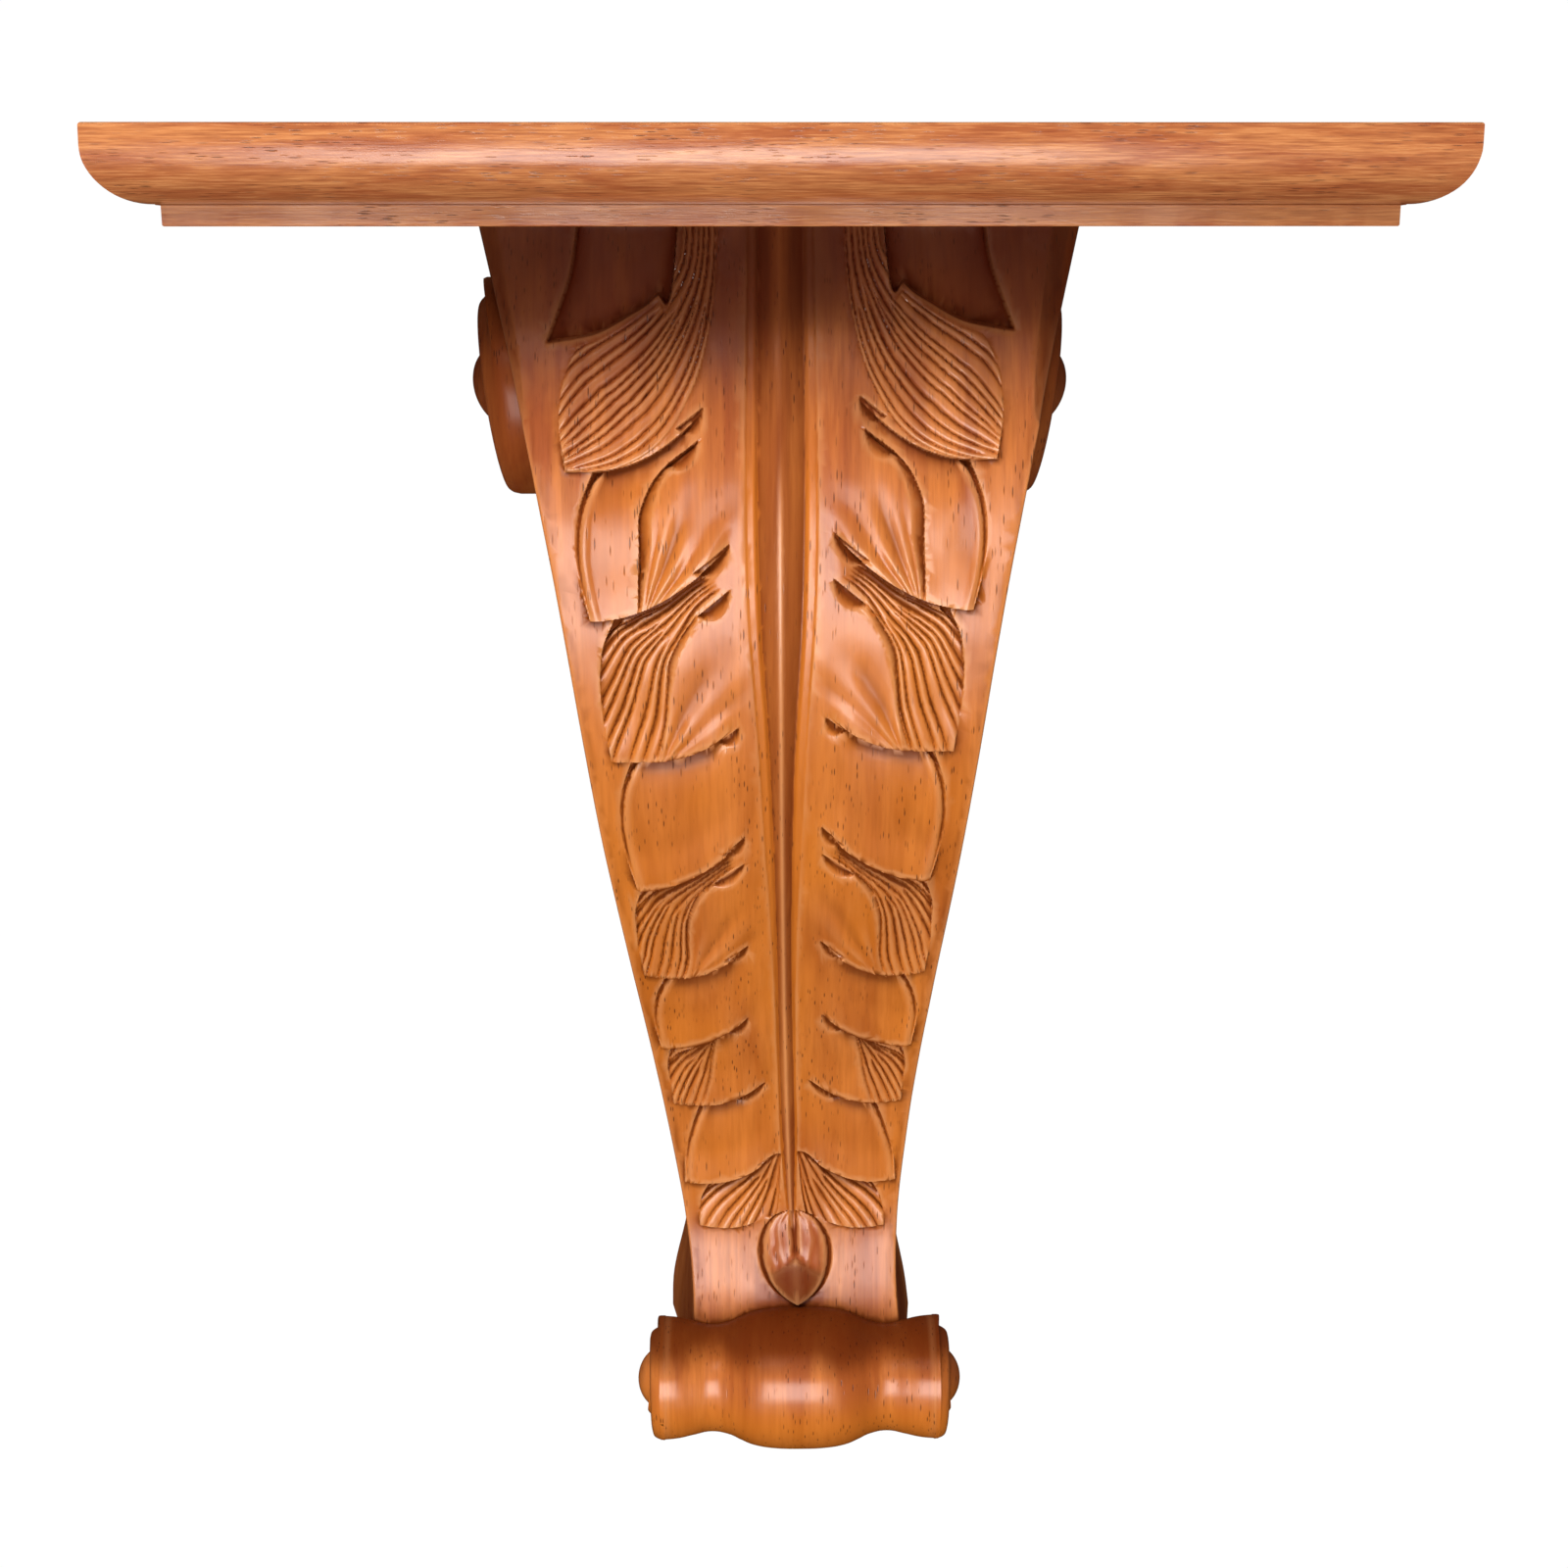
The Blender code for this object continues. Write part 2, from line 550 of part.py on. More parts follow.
def shelf_board(parts, tools):
    """The board: quarter round under its front and ends, over a thin square fillet."""
    wood = make_material("moulded_mahogany", (0.33, 0.12, 0.05), 0.32)
    half = BOARD_WIDTH / 2
    underside = HANGER_DROP
    shoulder = underside + FILLET_HEIGHT
    bm = bmesh.new()
    box(bm, (-half, -BOARD_DEPTH, shoulder), (half, 0.0, underside + BOARD_THICKNESS))

    def seen(edge):
        """Say whether an edge is on the front or an end, not at the wall."""
        return not all(abs(vert.co.y) < 1e-6 for vert in edge.verts)

    low_edges = [e for e in bm.edges if seen(e) and all(v.co.z < shoulder + 1e-6 for v in e.verts)]
    bmesh.ops.bevel(bm, geom=low_edges, offset=OVOLO_RADIUS, segments=OVOLO_SEGMENTS, profile=0.5,
                    affect='EDGES')
    high = underside + BOARD_THICKNESS - 1e-6
    top_edges = [e for e in bm.edges if seen(e) and all(v.co.z > high for v in e.verts)]
    bmesh.ops.bevel(bm, geom=top_edges, offset=BOARD_ARRIS, segments=1, profile=0.5, affect='EDGES')
    board = add_object("shelf_board", mesh_from(bm, "shelf_board"), parts, wood)
    step = bmesh.new()
    box(step, (-half + FILLET_INSET, -BOARD_DEPTH + FILLET_INSET, underside),
        (half - FILLET_INSET, 0.0, shoulder + OVOLO_RADIUS / 2))
    join(board, as_tool(add_object("fillet_step", mesh_from(step, "fillet_step"), tools)))
    return board


def main():
    """Build the bracket's two pieces."""
    clear_scene()
    parts = make_collection("carved_shelf_bracket")
    tools = make_collection("shaping_tools")
    shelf_board(parts, tools)
    corbel(parts, tools)


main()
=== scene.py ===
"""Visual model of a carved mahogany wall bracket: a moulded shelf board on a leaf-carved corbel.

Metres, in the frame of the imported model: the wall is the plane Y = 0, the front looks along -Y and
the origin is on the corbel's flat back. The carving is drawn on a pattern in millimetres, as places
out from the middle of the face and down from the board's underside.
"""
import logging
import math
from dataclasses import dataclass, field
from enum import Enum

import bmesh
import bpy
import numpy as np
from mathutils import Matrix, Vector


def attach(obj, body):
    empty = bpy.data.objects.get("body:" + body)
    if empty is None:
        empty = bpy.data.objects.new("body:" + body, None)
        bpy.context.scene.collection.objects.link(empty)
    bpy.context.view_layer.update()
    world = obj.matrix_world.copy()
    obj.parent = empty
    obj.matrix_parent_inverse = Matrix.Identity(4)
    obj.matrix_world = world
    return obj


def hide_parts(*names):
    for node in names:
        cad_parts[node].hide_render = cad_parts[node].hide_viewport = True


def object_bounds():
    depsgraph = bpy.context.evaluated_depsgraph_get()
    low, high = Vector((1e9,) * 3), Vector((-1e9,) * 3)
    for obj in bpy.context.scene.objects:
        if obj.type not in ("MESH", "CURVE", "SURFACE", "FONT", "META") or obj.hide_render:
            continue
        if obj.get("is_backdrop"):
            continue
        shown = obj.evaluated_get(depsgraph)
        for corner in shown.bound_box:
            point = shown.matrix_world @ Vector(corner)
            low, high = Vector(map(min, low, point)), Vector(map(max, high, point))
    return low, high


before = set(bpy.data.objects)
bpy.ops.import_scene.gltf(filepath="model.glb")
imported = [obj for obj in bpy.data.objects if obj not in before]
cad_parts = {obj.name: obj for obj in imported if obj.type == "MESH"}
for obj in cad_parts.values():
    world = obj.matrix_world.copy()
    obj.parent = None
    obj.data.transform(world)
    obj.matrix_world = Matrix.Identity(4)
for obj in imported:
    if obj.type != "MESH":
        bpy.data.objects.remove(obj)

CAD_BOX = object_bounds()
LOG = logging.getLogger("bracket")
MM = 0.001
BODY = "root"
HASH_ACROSS, HASH_DOWN, HASH_MIX = 374761393, 668265263, 1274126177

Array = np.ndarray
Point = tuple[float, float]
Line = tuple[Point, ...]
Mesh = bpy.types.Mesh
Material = bpy.types.Material
Socket = bpy.types.NodeSocket
Thing = bpy.types.Object
Tree = bpy.types.NodeTree


class LeafKind(Enum):
    """How a leaf is worked."""

    LOBE = "plain lobe"
    FAN = "fluted fan"


class Side(Enum):
    """Which side of the middle a piece is on, seen from the room."""

    LEFT = -1
    RIGHT = 1


class Grain(Enum):
    """Axis along which the wood's fibres run."""

    ALONG_SHELF = 0
    UPRIGHT = 2


def clamp(value: Array) -> Array:
    """Keep a value between 0 and 1."""
    return np.clip(value, 0.0, 1.0)


def bell(value: Array) -> Array:
    """Bell curve, 1 at nought and close to 0 beyond two."""
    return np.exp(-value ** 2)


def ease(value: Array) -> Array:
    """Ease from 0 to 1 as the value goes from 0 to 1."""
    value = clamp(value)
    return value * value * (3.0 - 2.0 * value)


def through(points: Line, place: Array) -> Array:
    """Read a smooth curve through (place, value) points.

    Args:
        points: The points, in order of their place.
        place: Places at which to read it.

    Returns:
        The value at each place.
    """
    xs = np.array([p[0] for p in points], float)
    ys = np.array([p[1] for p in points], float)
    slopes = np.gradient(ys, xs)
    slopes[0] = (ys[1] - ys[0]) / (xs[1] - xs[0])
    slopes[-1] = (ys[-1] - ys[-2]) / (xs[-1] - xs[-2])
    place = np.clip(place, xs[0], xs[-1])
    i = np.clip(np.searchsorted(xs, place, side="right") - 1, 0, len(xs) - 2)
    span = xs[i + 1] - xs[i]
    t = (place - xs[i]) / span
    return ((1 + 2 * t) * (1 - t) ** 2 * ys[i] + t * (1 - t) ** 2 * span * slopes[i]
            + t * t * (3 - 2 * t) * ys[i + 1] + t * t * (t - 1) * span * slopes[i + 1])


def rounded(line: Line, steps: int = 4) -> Array:
    """Return more points along a line, on a smooth curve through its own points."""
    pts = np.array([line[0], *line, line[-1]], float)
    made = []
    for a, b, c, d in zip(pts, pts[1:], pts[2:], pts[3:]):
        for step in range(steps):
            t = step / steps
            made.append(0.5 * (2 * b + (c - a) * t + (2 * a - 5 * b + 4 * c - d) * t * t
                               + (3 * b - a - 3 * c + d) * t ** 3))
    return np.array(made + [pts[-1]])


def distance_to(line: Line, out: Array, drop: Array) -> Array:
    """Distance of each place on the pattern from a line."""
    pts = rounded(line)
    near = np.full_like(out, 1e9)
    for (x0, y0), (x1, y1) in zip(pts, pts[1:]):
        dx, dy = x1 - x0, y1 - y0
        t = clamp(((out - x0) * dx + (drop - y0) * dy) / (dx * dx + dy * dy))
        near = np.minimum(near, (out - x0 - t * dx) ** 2 + (drop - y0 - t * dy) ** 2)
    return np.sqrt(near)


def lattice(ix: Array, iy: Array, seed: int) -> Array:
    """Steady random number from 0 to 1 for each whole-numbered place."""
    n = ix.astype(np.int64) * HASH_ACROSS + iy.astype(np.int64) * HASH_DOWN + seed * HASH_MIX
    n = n & 0xFFFFFFFF
    n = ((n ^ (n >> 13)) * HASH_MIX) & 0xFFFFFFFF
    return ((n ^ (n >> 16)) & 0xFFFF) / 0xFFFF


def mottle(x: Array, y: Array, seed: int) -> Array:
    """Smooth random waviness from -1 to 1, with a period of about two units."""
    ix, iy = np.floor(x), np.floor(y)
    fx, fy = ease(x - ix), ease(y - iy)
    a, b = lattice(ix, iy, seed), lattice(ix + 1, iy, seed)
    c, d = lattice(ix, iy + 1, seed), lattice(ix + 1, iy + 1, seed)
    return 2.0 * ((a * (1 - fx) + b * fx) * (1 - fy) + (c * (1 - fx) + d * fx) * fy) - 1.0


@dataclass(frozen=True)
class Leaf:
    """One leaf of the carving; it overlaps the next one below it."""

    kind: LeafKind
    corner: Point      # outer end of its lower edge (out, drop)
    eye: Point         # inner end of its lower edge
    sweep: float       # power of that edge's curve
    sag: float
    outer: Line        # its outer side, as (drop, out)


@dataclass(frozen=True)
class Division:
    """A gouge cut that parts a leaf from the smooth flesh beside the rib."""

    leaf: int
    line: Line         # its deepest line, as (drop, out)
    width: Line        # width of the slanted side next to the flesh, as (drop, width)
    depth: float


@dataclass(frozen=True)
class Fan:
    """Flutes that spring from a neck and spread between two lines (out, drop)."""

    leaf: int
    neck: Point
    over: Line
    under: Line
    flutes: int


@dataclass(frozen=True)
class Gather:
    """Broad shallow flutes that spread up from the foot of a dividing cut."""

    leaf: int
    foot: Point        # where they spring from (out, drop)
    depth: float
    first: float       # degrees in from upright
    period: float      # degrees from one to the next


@dataclass(frozen=True)
class EyeCut:
    """A lens-shaped gouge cut at the inner end of a leaf's edge."""

    tip: Point
    end: Point
    width: float
    depth: float


LOBE, FAN = LeafKind.LOBE, LeafKind.FAN
LEAVES = (
    Leaf(FAN, (73, 81.5), (25, 60), 2.5, 1.0,
         ((40, 68.5), (49, 72.6), (59, 74.6), (68, 74.8), (81.5, 73))),
    Leaf(LOBE, (65, 132.5), (17, 106), 2.0, 0.0,
         ((82, 62.3), (94, 67.3), (108, 69), (119, 68), (132.5, 65))),
    Leaf(FAN, (60, 184), (16.5, 171), 3.3, 0.4,
         ((133, 57.5), (141, 61), (150, 62.5), (166, 62.2), (184, 60))),
    Leaf(LOBE, (52.5, 236), (13, 215), 1.7, 1.5,
         ((184, 51.5), (197, 56), (210, 57), (223, 55.5), (236, 52.5))),
    Leaf(FAN, (52.4, 275), (12.5, 262), 2.4, 3.0,
         ((236, 51), (245, 54), (256, 54.2), (266, 53.6), (275, 52.4))),
    Leaf(LOBE, (47.5, 309.5), (13.5, 295.5), 1.8, 1.5,
         ((275, 42.5), (284, 47), (294, 49.2), (309.5, 47.5))),
    Leaf(FAN, (44.5, 337), (8, 327), 2.2, 2.4,
         ((310, 44), (318, 45.8), (327, 45.2), (337, 44.5))),
    Leaf(LOBE, (41.5, 374), (5, 362), 2.2, 2.4,
         ((337, 32.5), (349, 37), (361, 40.3), (374, 41.5))),
    Leaf(FAN, (37, 394), (10, 391), 2.0, 2.0,
         ((374, 31.5), (382, 35.6), (388, 36.8), (394, 37))),
)
DIVISIONS = (
    Division(1, ((71, 27), (79, 38), (94, 47.2), (108, 48), (130, 48.7)),
             ((70, 0.8), (80, 2.4), (94, 3.8), (106, 3.9), (117, 2.2), (130, 0.5)), 2.0),
    Division(2, ((130, 28.6), (138, 34), (147, 38.4), (157, 39.5), (169, 40.6), (184, 44.6)),
             ((130, 0.6), (140, 2.2), (148, 1.9), (160, 0.8), (184, 0.7)), 1.5),
    Division(4, ((233, 24.5), (242, 32.2), (250, 35.2), (260, 35.7), (268, 35.6), (276, 37.4)),
             ((233, 0.6), (241, 2.0), (250, 1.6), (260, 0.8), (276, 0.6)), 1.4),
    Division(6, ((305, 26.5), (315, 28.8), (325, 30.2), (338, 33.5)),
             ((305, 0.6), (315, 1.3), (338, 0.7)), 1.1),
)
FANS = (
    Fan(0, (-99, 0),
        ((33.5, -8), (34, 10), (39.5, 20), (50, 28), (62, 34), (69, 37.8), (75, 43), (80, 52),
         (84, 65), (86, 86)),
        ((21, -8), (21.9, 17), (24, 34.5), (27.5, 49), (32.4, 60), (38, 69), (45, 75.5), (54, 80),
         (62, 82), (74, 83.5)), 13),
    Fan(2, (22.5, 118),
        ((17, 106), (24, 115.5), (31, 120.5), (40, 127), (50, 131.5), (58, 136), (66, 146), (74, 156),
         (82, 170), (88, 190)),
        ((15, 118), (22, 122.5), (29, 129), (34, 138), (38.4, 147), (39.5, 157), (40.6, 169),
         (44.6, 184), (47, 195)), 9),
    Fan(4, (17.5, 223.5),
        ((12, 216), (19.3, 222), (31, 230.5), (40.4, 235), (48, 238.5), (55, 246), (62, 256),
         (67, 270), (70, 282)),
        ((11, 224), (18, 228), (25, 234), (32.2, 242), (35.2, 250), (35.7, 260), (35.6, 268),
         (37.4, 276), (39, 284)), 9),
    Fan(6, (20.5, 300.5),
        ((22, 300), (29, 307), (36, 311), (43, 314.5), (49, 321), (54, 331), (57, 343)),
        ((20, 300), (26.5, 306), (28.8, 315), (30.2, 325), (33.5, 338), (35.5, 346)), 7),
    Fan(8, (-99, 0),
        ((3, 357), (9, 363), (16, 369), (25.5, 374), (32.5, 378), (39, 384), (44, 392), (47, 402)),
        ((2.6, 360), (3.6, 369), (4.2, 379), (5.6, 389), (8, 399)), 8),
)
GATHERS = (
    Gather(1, (47.5, 133.0), 0.55, 10.0, 16.0),
    Gather(2, (43.0, 187.0), 0.45, 8.0, 22.0),
    Gather(4, (35.0, 277.0), 0.4, 8.0, 27.0),
)
EYES = (
    EyeCut((26.3, 60.2), (35.6, 67.4), 5.6, 2.0), EyeCut((28.0, 71.0), (39.4, 80.0), 5.2, 2.0),
    EyeCut((17.6, 105.8), (30.2, 115.7), 5.8, 2.3), EyeCut((17.6, 121.6), (29.2, 131.2), 5.4, 2.2),
    EyeCut((15.0, 171.2), (22.2, 177.2), 4.6, 1.7), EyeCut((13.6, 214.2), (22, 221.4), 4.6, 1.9),
    EyeCut((13.8, 225.6), (26.0, 235.0), 4.4, 2.0), EyeCut((13.2, 261.7), (22.8, 268.4), 4.2, 1.8),
    EyeCut((14.0, 295.3), (22.5, 303.6), 4.0, 1.8), EyeCut((8.2, 327.4), (20.8, 336.7), 3.8, 1.7),
    EyeCut((5.4, 361.8), (13, 366.5), 3.0, 1.3),
)


@dataclass
class FaceCarving:
    """Relief of the front face, in millimetres on the pattern.

    Attributes:
        rise: How high a leaf swells towards its lower edge.
        rise_length: Length over which it swells.
        dip: How deep a leaf dives under the one above it.
        dip_length: Length over which it dives.
        growth: Distance from its eye over which a leaf's edge grows to its full height.
        bend: Power that shapes the swell and the dive.
        wall: Width of the step at a leaf's lower edge.
        join: Width over which one cut runs into the next.
        flute_depth: Greatest depth of a flute.
        flute_slope: Depth of a narrow flute for each millimetre of its width.
        flute_room: Least width that is parted in two, and how much it varies.
        flute_round: Powers that round a single and a double flute.
        flute_wander: How far a flute strays, as a share of its width.
        flute_spacing: Waves in the flutes' spacing, as (size, waves, start).
        fan_sink: How far a fan lies under the flesh of its leaf.
        fan_border: Plain border between the first fan and the panel.
        lip: Height of a lobe's raised outer side.
        gouge: Depth and width of the cut along a lobe's outer side.
        gap: Depth, width and length of the hole where two leaves part.
        rib_height: Height of the rib's crest over its channels.
        rib_floor: Depth of the channels.
        panel_depth: Depth of the sunk panels.
        bud_height: Height of the bud.
        right_lift: How much higher the right-hand leaves are.
        lift_ends: Where that lift fades, as (drop, length).
        hand_marks: Waviness of the surface, as (height, period across, period down, seed).
    """

    rise: float = 1.8
    rise_length: float = 24.0
    dip: float = 2.4
    dip_length: float = 8.0
    growth: float = 10.0
    bend: float = 1.3
    wall: float = 0.40
    join: float = 0.5
    flute_depth: float = 1.1
    flute_slope: float = 0.52
    flute_room: Point = (1.15, 0.7)
    flute_round: Point = (0.48, 0.45)
    flute_wander: float = 0.12
    flute_spacing: tuple = ((0.016, 2, 1), (0.009, 5, 3))
    fan_sink: float = 0.9
    fan_border: float = 2.6
    lip: float = 0.55
    gouge: Point = (1.2, 1.3)
    gap: tuple[float, float, float] = (1.5, 2.6, 9.0)
    rib_height: float = 2.6
    rib_floor: float = -1.5
    panel_depth: float = 3.0
    rib_outline: Line = ((0, 11.2), (135, 11.2), (170, 8.9), (208, 7.0), (260, 4.6), (315, 3.5), (363, 3.1),
                         (404, 0.4))
    rib_groove: Line = ((0, 7.6), (135, 7.0), (178, 4.6), (260, 2.7), (363, 2.1), (404, 0.3))
    panel_side: Line = ((0, 68.7), (18, 71.5), (28, 74.9), (39, 79.0))
    panel_foot: Line = ((35.2, 2.0), (36.2, 14.4), (42.1, 23.1), (51.9, 30.0), (61.6, 35.2), (70.0, 37.2),
                        (79.0, 38.6))
    bud_middle: Point = (0.8, 405.0)
    bud_half: float = 13.6
    bud_up: float = 17.0
    bud_down: float = 21.5
    bud_height: float = 4.0
    right_lift: float = 4.0
    lift_ends: Line = ((230.0, 50.0), (360.0, 30.0))
    hand_marks: tuple = ((0.26, 9.0, 17.0, 3), (0.05, 3.0, 7.0, 4))

    def lower_edge(self, leaf: Leaf, out: Array) -> Array:
        """Drop of a leaf's lower edge at a distance from the middle."""
        t = clamp((leaf.corner[0] - out) / (leaf.corner[0] - leaf.eye[0]))
        fall = (leaf.corner[1] - leaf.eye[1]) * t ** leaf.sweep
        return leaf.corner[1] - fall + leaf.sag * np.sin(math.pi * t)

    def flutes(self, fan: Fan, out: Array, drop: Array, seed: int) -> Array:
        """Rounded flutes between V cuts; where there is no room, only every second cut is made."""
        over, under = distance_to(fan.over, out, drop), distance_to(fan.under, out, drop)
        share = over / (over + under)
        width = (over + under) / fan.flutes
        swing = math.sin(math.pi * 0.7 * seed)
        slow, quick = (size * np.sin(2 * math.pi * waves * share + start * swing)
                       for size, waves, start in self.flute_spacing)
        share = share + slow + quick
        wander = self.flute_wander * mottle(share * 5.0, (out + drop) / 20.0, seed)
        phase = share * fan.flutes + wander * np.sin(math.pi * share)
        nought = np.zeros_like(phase)
        least, spread = self.flute_room
        room = least + spread * lattice(np.floor((phase + 1) / 2), nought, seed + 5)
        splits = ease((width - room) / 0.4)
        near = np.abs(np.sin(math.pi * phase)) ** self.flute_round[0]
        wide = np.abs(np.sin(0.5 * math.pi * phase)) ** self.flute_round[1]
        uneven = 0.75 + 0.5 * lattice(np.floor(phase), nought, seed + 9)
        depth = np.minimum(self.flute_depth, self.flute_slope * width * (1.9 - 0.9 * splits)) * uneven
        return depth * (wide * (1.0 - splits) + near * splits - 1.0)

    def panel(self, out: Array, drop: Array) -> Array:
        """The sunk panel in the top outer corner, with a soft foot and steep sides."""
        foot_wall, side_wall = 2.6, 1.3
        side = through(self.panel_side, drop) - out
        foot = through(self.panel_foot, out) - drop
        inside = ease(foot / foot_wall + 0.5) * ease(side / side_wall + 0.5)
        return -self.panel_depth * inside * ease((out - self.panel_foot[0][0]) / side_wall + 0.5)

    def division(self, cut: Division, out: Array, drop: Array) -> tuple[Array, Array]:
        """A dividing cut: upright next to the leaf, slanted up to the flesh.

        Args:
            cut: Where it runs.
            out: Distances from the middle.
            drop: Distances down from the board.

        Returns:
            Its relief, and the distance of its deepest line from the middle.
        """
        upright, run_out, full_width = 0.45, 5.0, 3.0
        line, width = through(cut.line, drop), through(cut.width, drop)
        first, last = cut.line[0][0], cut.line[-1][0]
        live = ease((drop - first) / run_out + 0.2) * ease((last + 1.0 - drop) / run_out)
        aside = out - line
        facet = np.where(aside < 0, clamp(1.0 + aside / width), clamp(1.0 - aside / upright))
        return -cut.depth * clamp(0.35 + width / full_width) * live * facet, line

    def eye(self, cut: EyeCut, out: Array, drop: Array) -> Array:
        """A lens-shaped cut, steep on its upper side."""
        dx, dy = cut.end[0] - cut.tip[0], cut.end[1] - cut.tip[1]
        length = math.hypot(dx, dy)
        ux, uy = dx / length, dy / length
        along = ((out - cut.tip[0]) * ux + (drop - cut.tip[1]) * uy) / length
        aside = -(out - cut.tip[0]) * uy + (drop - cut.tip[1]) * ux
        belly = clamp(4.0 * along * (1.0 - along)) ** 0.8 * (0.75 + 0.5 * along)
        v = aside / np.maximum(cut.width * belly, 0.001)
        steep, slanted = 0.10, 0.6
        floor = clamp((1.0 - v) / slanted) * clamp(v / steep) * (1.0 - 0.3 * clamp(v))
        return np.where((along > 0) & (along < 1), -cut.depth * floor * np.minimum(1.0, belly * 1.6), 0.0)

    def soft_flutes(self, gather: Gather, out: Array, drop: Array) -> Array:
        """Broad shallow flutes in the flesh, gathered at the foot of a dividing cut."""
        across, up = gather.foot[0] - out, gather.foot[1] - drop
        radius = np.hypot(across, up)
        angle = np.degrees(np.arctan2(across, np.maximum(up, 0.01)))
        angle = angle + 4.0 * mottle(out / 22.0, drop / 34.0, 9)
        least, most, longest = 5.0, 56.0, 58.0
        live = ease((angle - least) / 8.0) * ease((most - angle) / 14.0)
        live = live * ease(radius / 14.0) * ease((longest - radius) / 28.0)
        live = live * (0.65 + 0.35 * mottle(out / 7.0, drop / 12.0, 16))
        return gather.depth * live * np.sin(2 * math.pi * (angle - gather.first) / gather.period)

    def leaf_relief(self, number: int, out: Array, drop: Array, upper: Array, lower: Array,
                    seed: int) -> Array:
        """Relief of one leaf between the edge of the leaf above it and its own.

        Args:
            number: Its place in LEAVES.
            out: Distances from the middle.
            drop: Distances down from the board.
            upper: Drop of the lower edge of the leaf above.
            lower: Drop of its own lower edge.
            seed: Number that steers the hand-cut unevenness.

        Returns:
            The relief, nought outside the leaf's outer side.
        """
        leaf = LEAVES[number]
        above = LEAVES[number - 1] if number else None
        size = 0.62 + 0.38 * leaf.corner[0] / LEAVES[0].corner[0]
        along = clamp((drop - upper) / np.maximum(lower - upper, 1.0))
        inside = through(leaf.outer, drop) - out
        swell = ease(1.0 - (lower - drop) / (self.rise_length * size)) ** self.bend
        relief = size * self.rise * ease((out - leaf.eye[0] + 1.0) / self.growth) * swell
        if above is not None:
            under = np.maximum(drop - upper, 0.0) / (self.dip_length * size)
            dive = ease((out - above.eye[0] - 0.5) / self.growth)
            relief -= size * self.dip * dive * np.exp(-under ** self.bend)
        fan_part = np.ones_like(out)
        for cut in (cut for cut in DIVISIONS if cut.leaf == number):
            groove, line = self.division(cut, out, drop)
            relief += groove
            fan_part = ease((out - line) / self.join)
        for fan in (fan for fan in FANS if fan.leaf == number):
            cuts = self.flutes(fan, out, drop, seed + number)
            on_fan = self.fan_cover(fan, out, drop)
            if number == 0:
                relief = relief * 0.6 + (cuts + 0.5) * on_fan
            else:
                relief += (cuts - self.fan_sink * size * (1.0 - 0.75 * along)) * on_fan
        if leaf.kind is LeafKind.LOBE:
            grown = ease((out - above.eye[0]) / self.growth)
            relief += size * self.lip * fan_part * bell((inside - 2.0) / 1.6) * grown
            depth, width = self.gouge
            width = width * (1.0 - 0.6 * along)
            cut = np.where(inside > 0, clamp(1.0 - inside / 0.7), clamp(1.0 + inside / width))
            relief -= size * depth * (1.0 - 0.7 * along) * cut * ease((1.0 - along) * 12.0)
            inside = inside + width
        if above is not None:
            depth, width, length = self.gap
            tip = drop - above.corner[1]
            left = clamp(1.0 - tip / (length * size))
            wedge = width * size * left
            hole = clamp((wedge - np.abs(inside - 0.4 * wedge)) / 0.6) * (tip > -1.0)
            relief -= depth * size * hole * left ** 0.5
        for gather in (gather for gather in GATHERS if gather.leaf == number):
            relief += self.soft_flutes(gather, out, drop)
        return relief * ease(inside / self.join + 0.5)

    def fan_cover(self, fan: Fan, out: Array, drop: Array) -> Array:
        """Where a fan's flutes are cut: 1 on the fan, 0 on the flesh, by the panel and in the neck."""
        over, under = rounded(fan.over), rounded(fan.under)
        outer = np.interp(drop, over[:, 1], over[:, 0])
        inner = np.interp(drop, under[:, 1], under[:, 0])
        cover = ease(np.minimum(outer - out, out - inner) / self.join)
        neck_across, neck_down, neck_length = 0.77, 0.64, 6.0
        from_neck = (out - fan.neck[0]) * neck_across + (drop - fan.neck[1]) * neck_down
        cover = cover * ease(from_neck / neck_length)
        if fan.leaf == 0:
            border = through(self.panel_foot, out) + self.fan_border
            cover = cover * np.where(out > 34.0, ease((drop - border) / 1.6), 1.0)
        return cover

    def leaves(self, out: Array, drop: Array, seed: int) -> Array:
        """Relief of one side's whole column of leaves."""
        height = self.panel(out, drop)
        upper = np.full_like(out, -60.0)
        for number, leaf in enumerate(LEAVES):
            lower = self.lower_edge(leaf, out)
            near = (drop > float(upper.min()) - 3.0) & (drop < leaf.corner[1] + 6.0)
            relief = np.zeros_like(out)
            relief[near] = self.leaf_relief(number, out[near], drop[near], upper[near], lower[near], seed)
            below = ease((drop - upper) / self.wall + 0.5)
            height = height + relief if number == 0 else height * (1.0 - below) + relief * below
            upper = lower
        height = height * (1.0 - ease((drop - upper) / self.wall + 0.5))
        for cut in EYES:
            height = height + self.eye(cut, out, drop)
        return height

    def rib(self, wide: Array, drop: Array, height: Array) -> Array:
        """Lay the middle rib over the leaves: a sharp crest between two coved channels."""
        out = np.abs(wide)
        half = through(self.rib_outline, drop)
        groove = through(self.rib_groove, drop)
        grown = np.minimum(1.0, half / 9.0)
        crest = np.abs(wide + 0.5 * grown)
        core = self.rib_height * (0.35 + 0.65 * grown) * (1.0 - clamp(crest / groove) ** 1.35)
        floor = self.rib_floor * (0.4 + 0.6 * grown)
        t = clamp((out - groove) / np.maximum(half - groove, 0.2))
        cove = floor * (0.45 + 0.55 * bell((out - groove) / 0.9)) * (1.0 - 0.25 * t)
        rib = np.where(out < groove, floor + core, cove)
        on_rib = ease((half - out) / 1.2 + 0.5) * ease((self.rib_outline[-1][0] - drop) / 4.0)
        return height * (1.0 - on_rib) + rib * on_rib

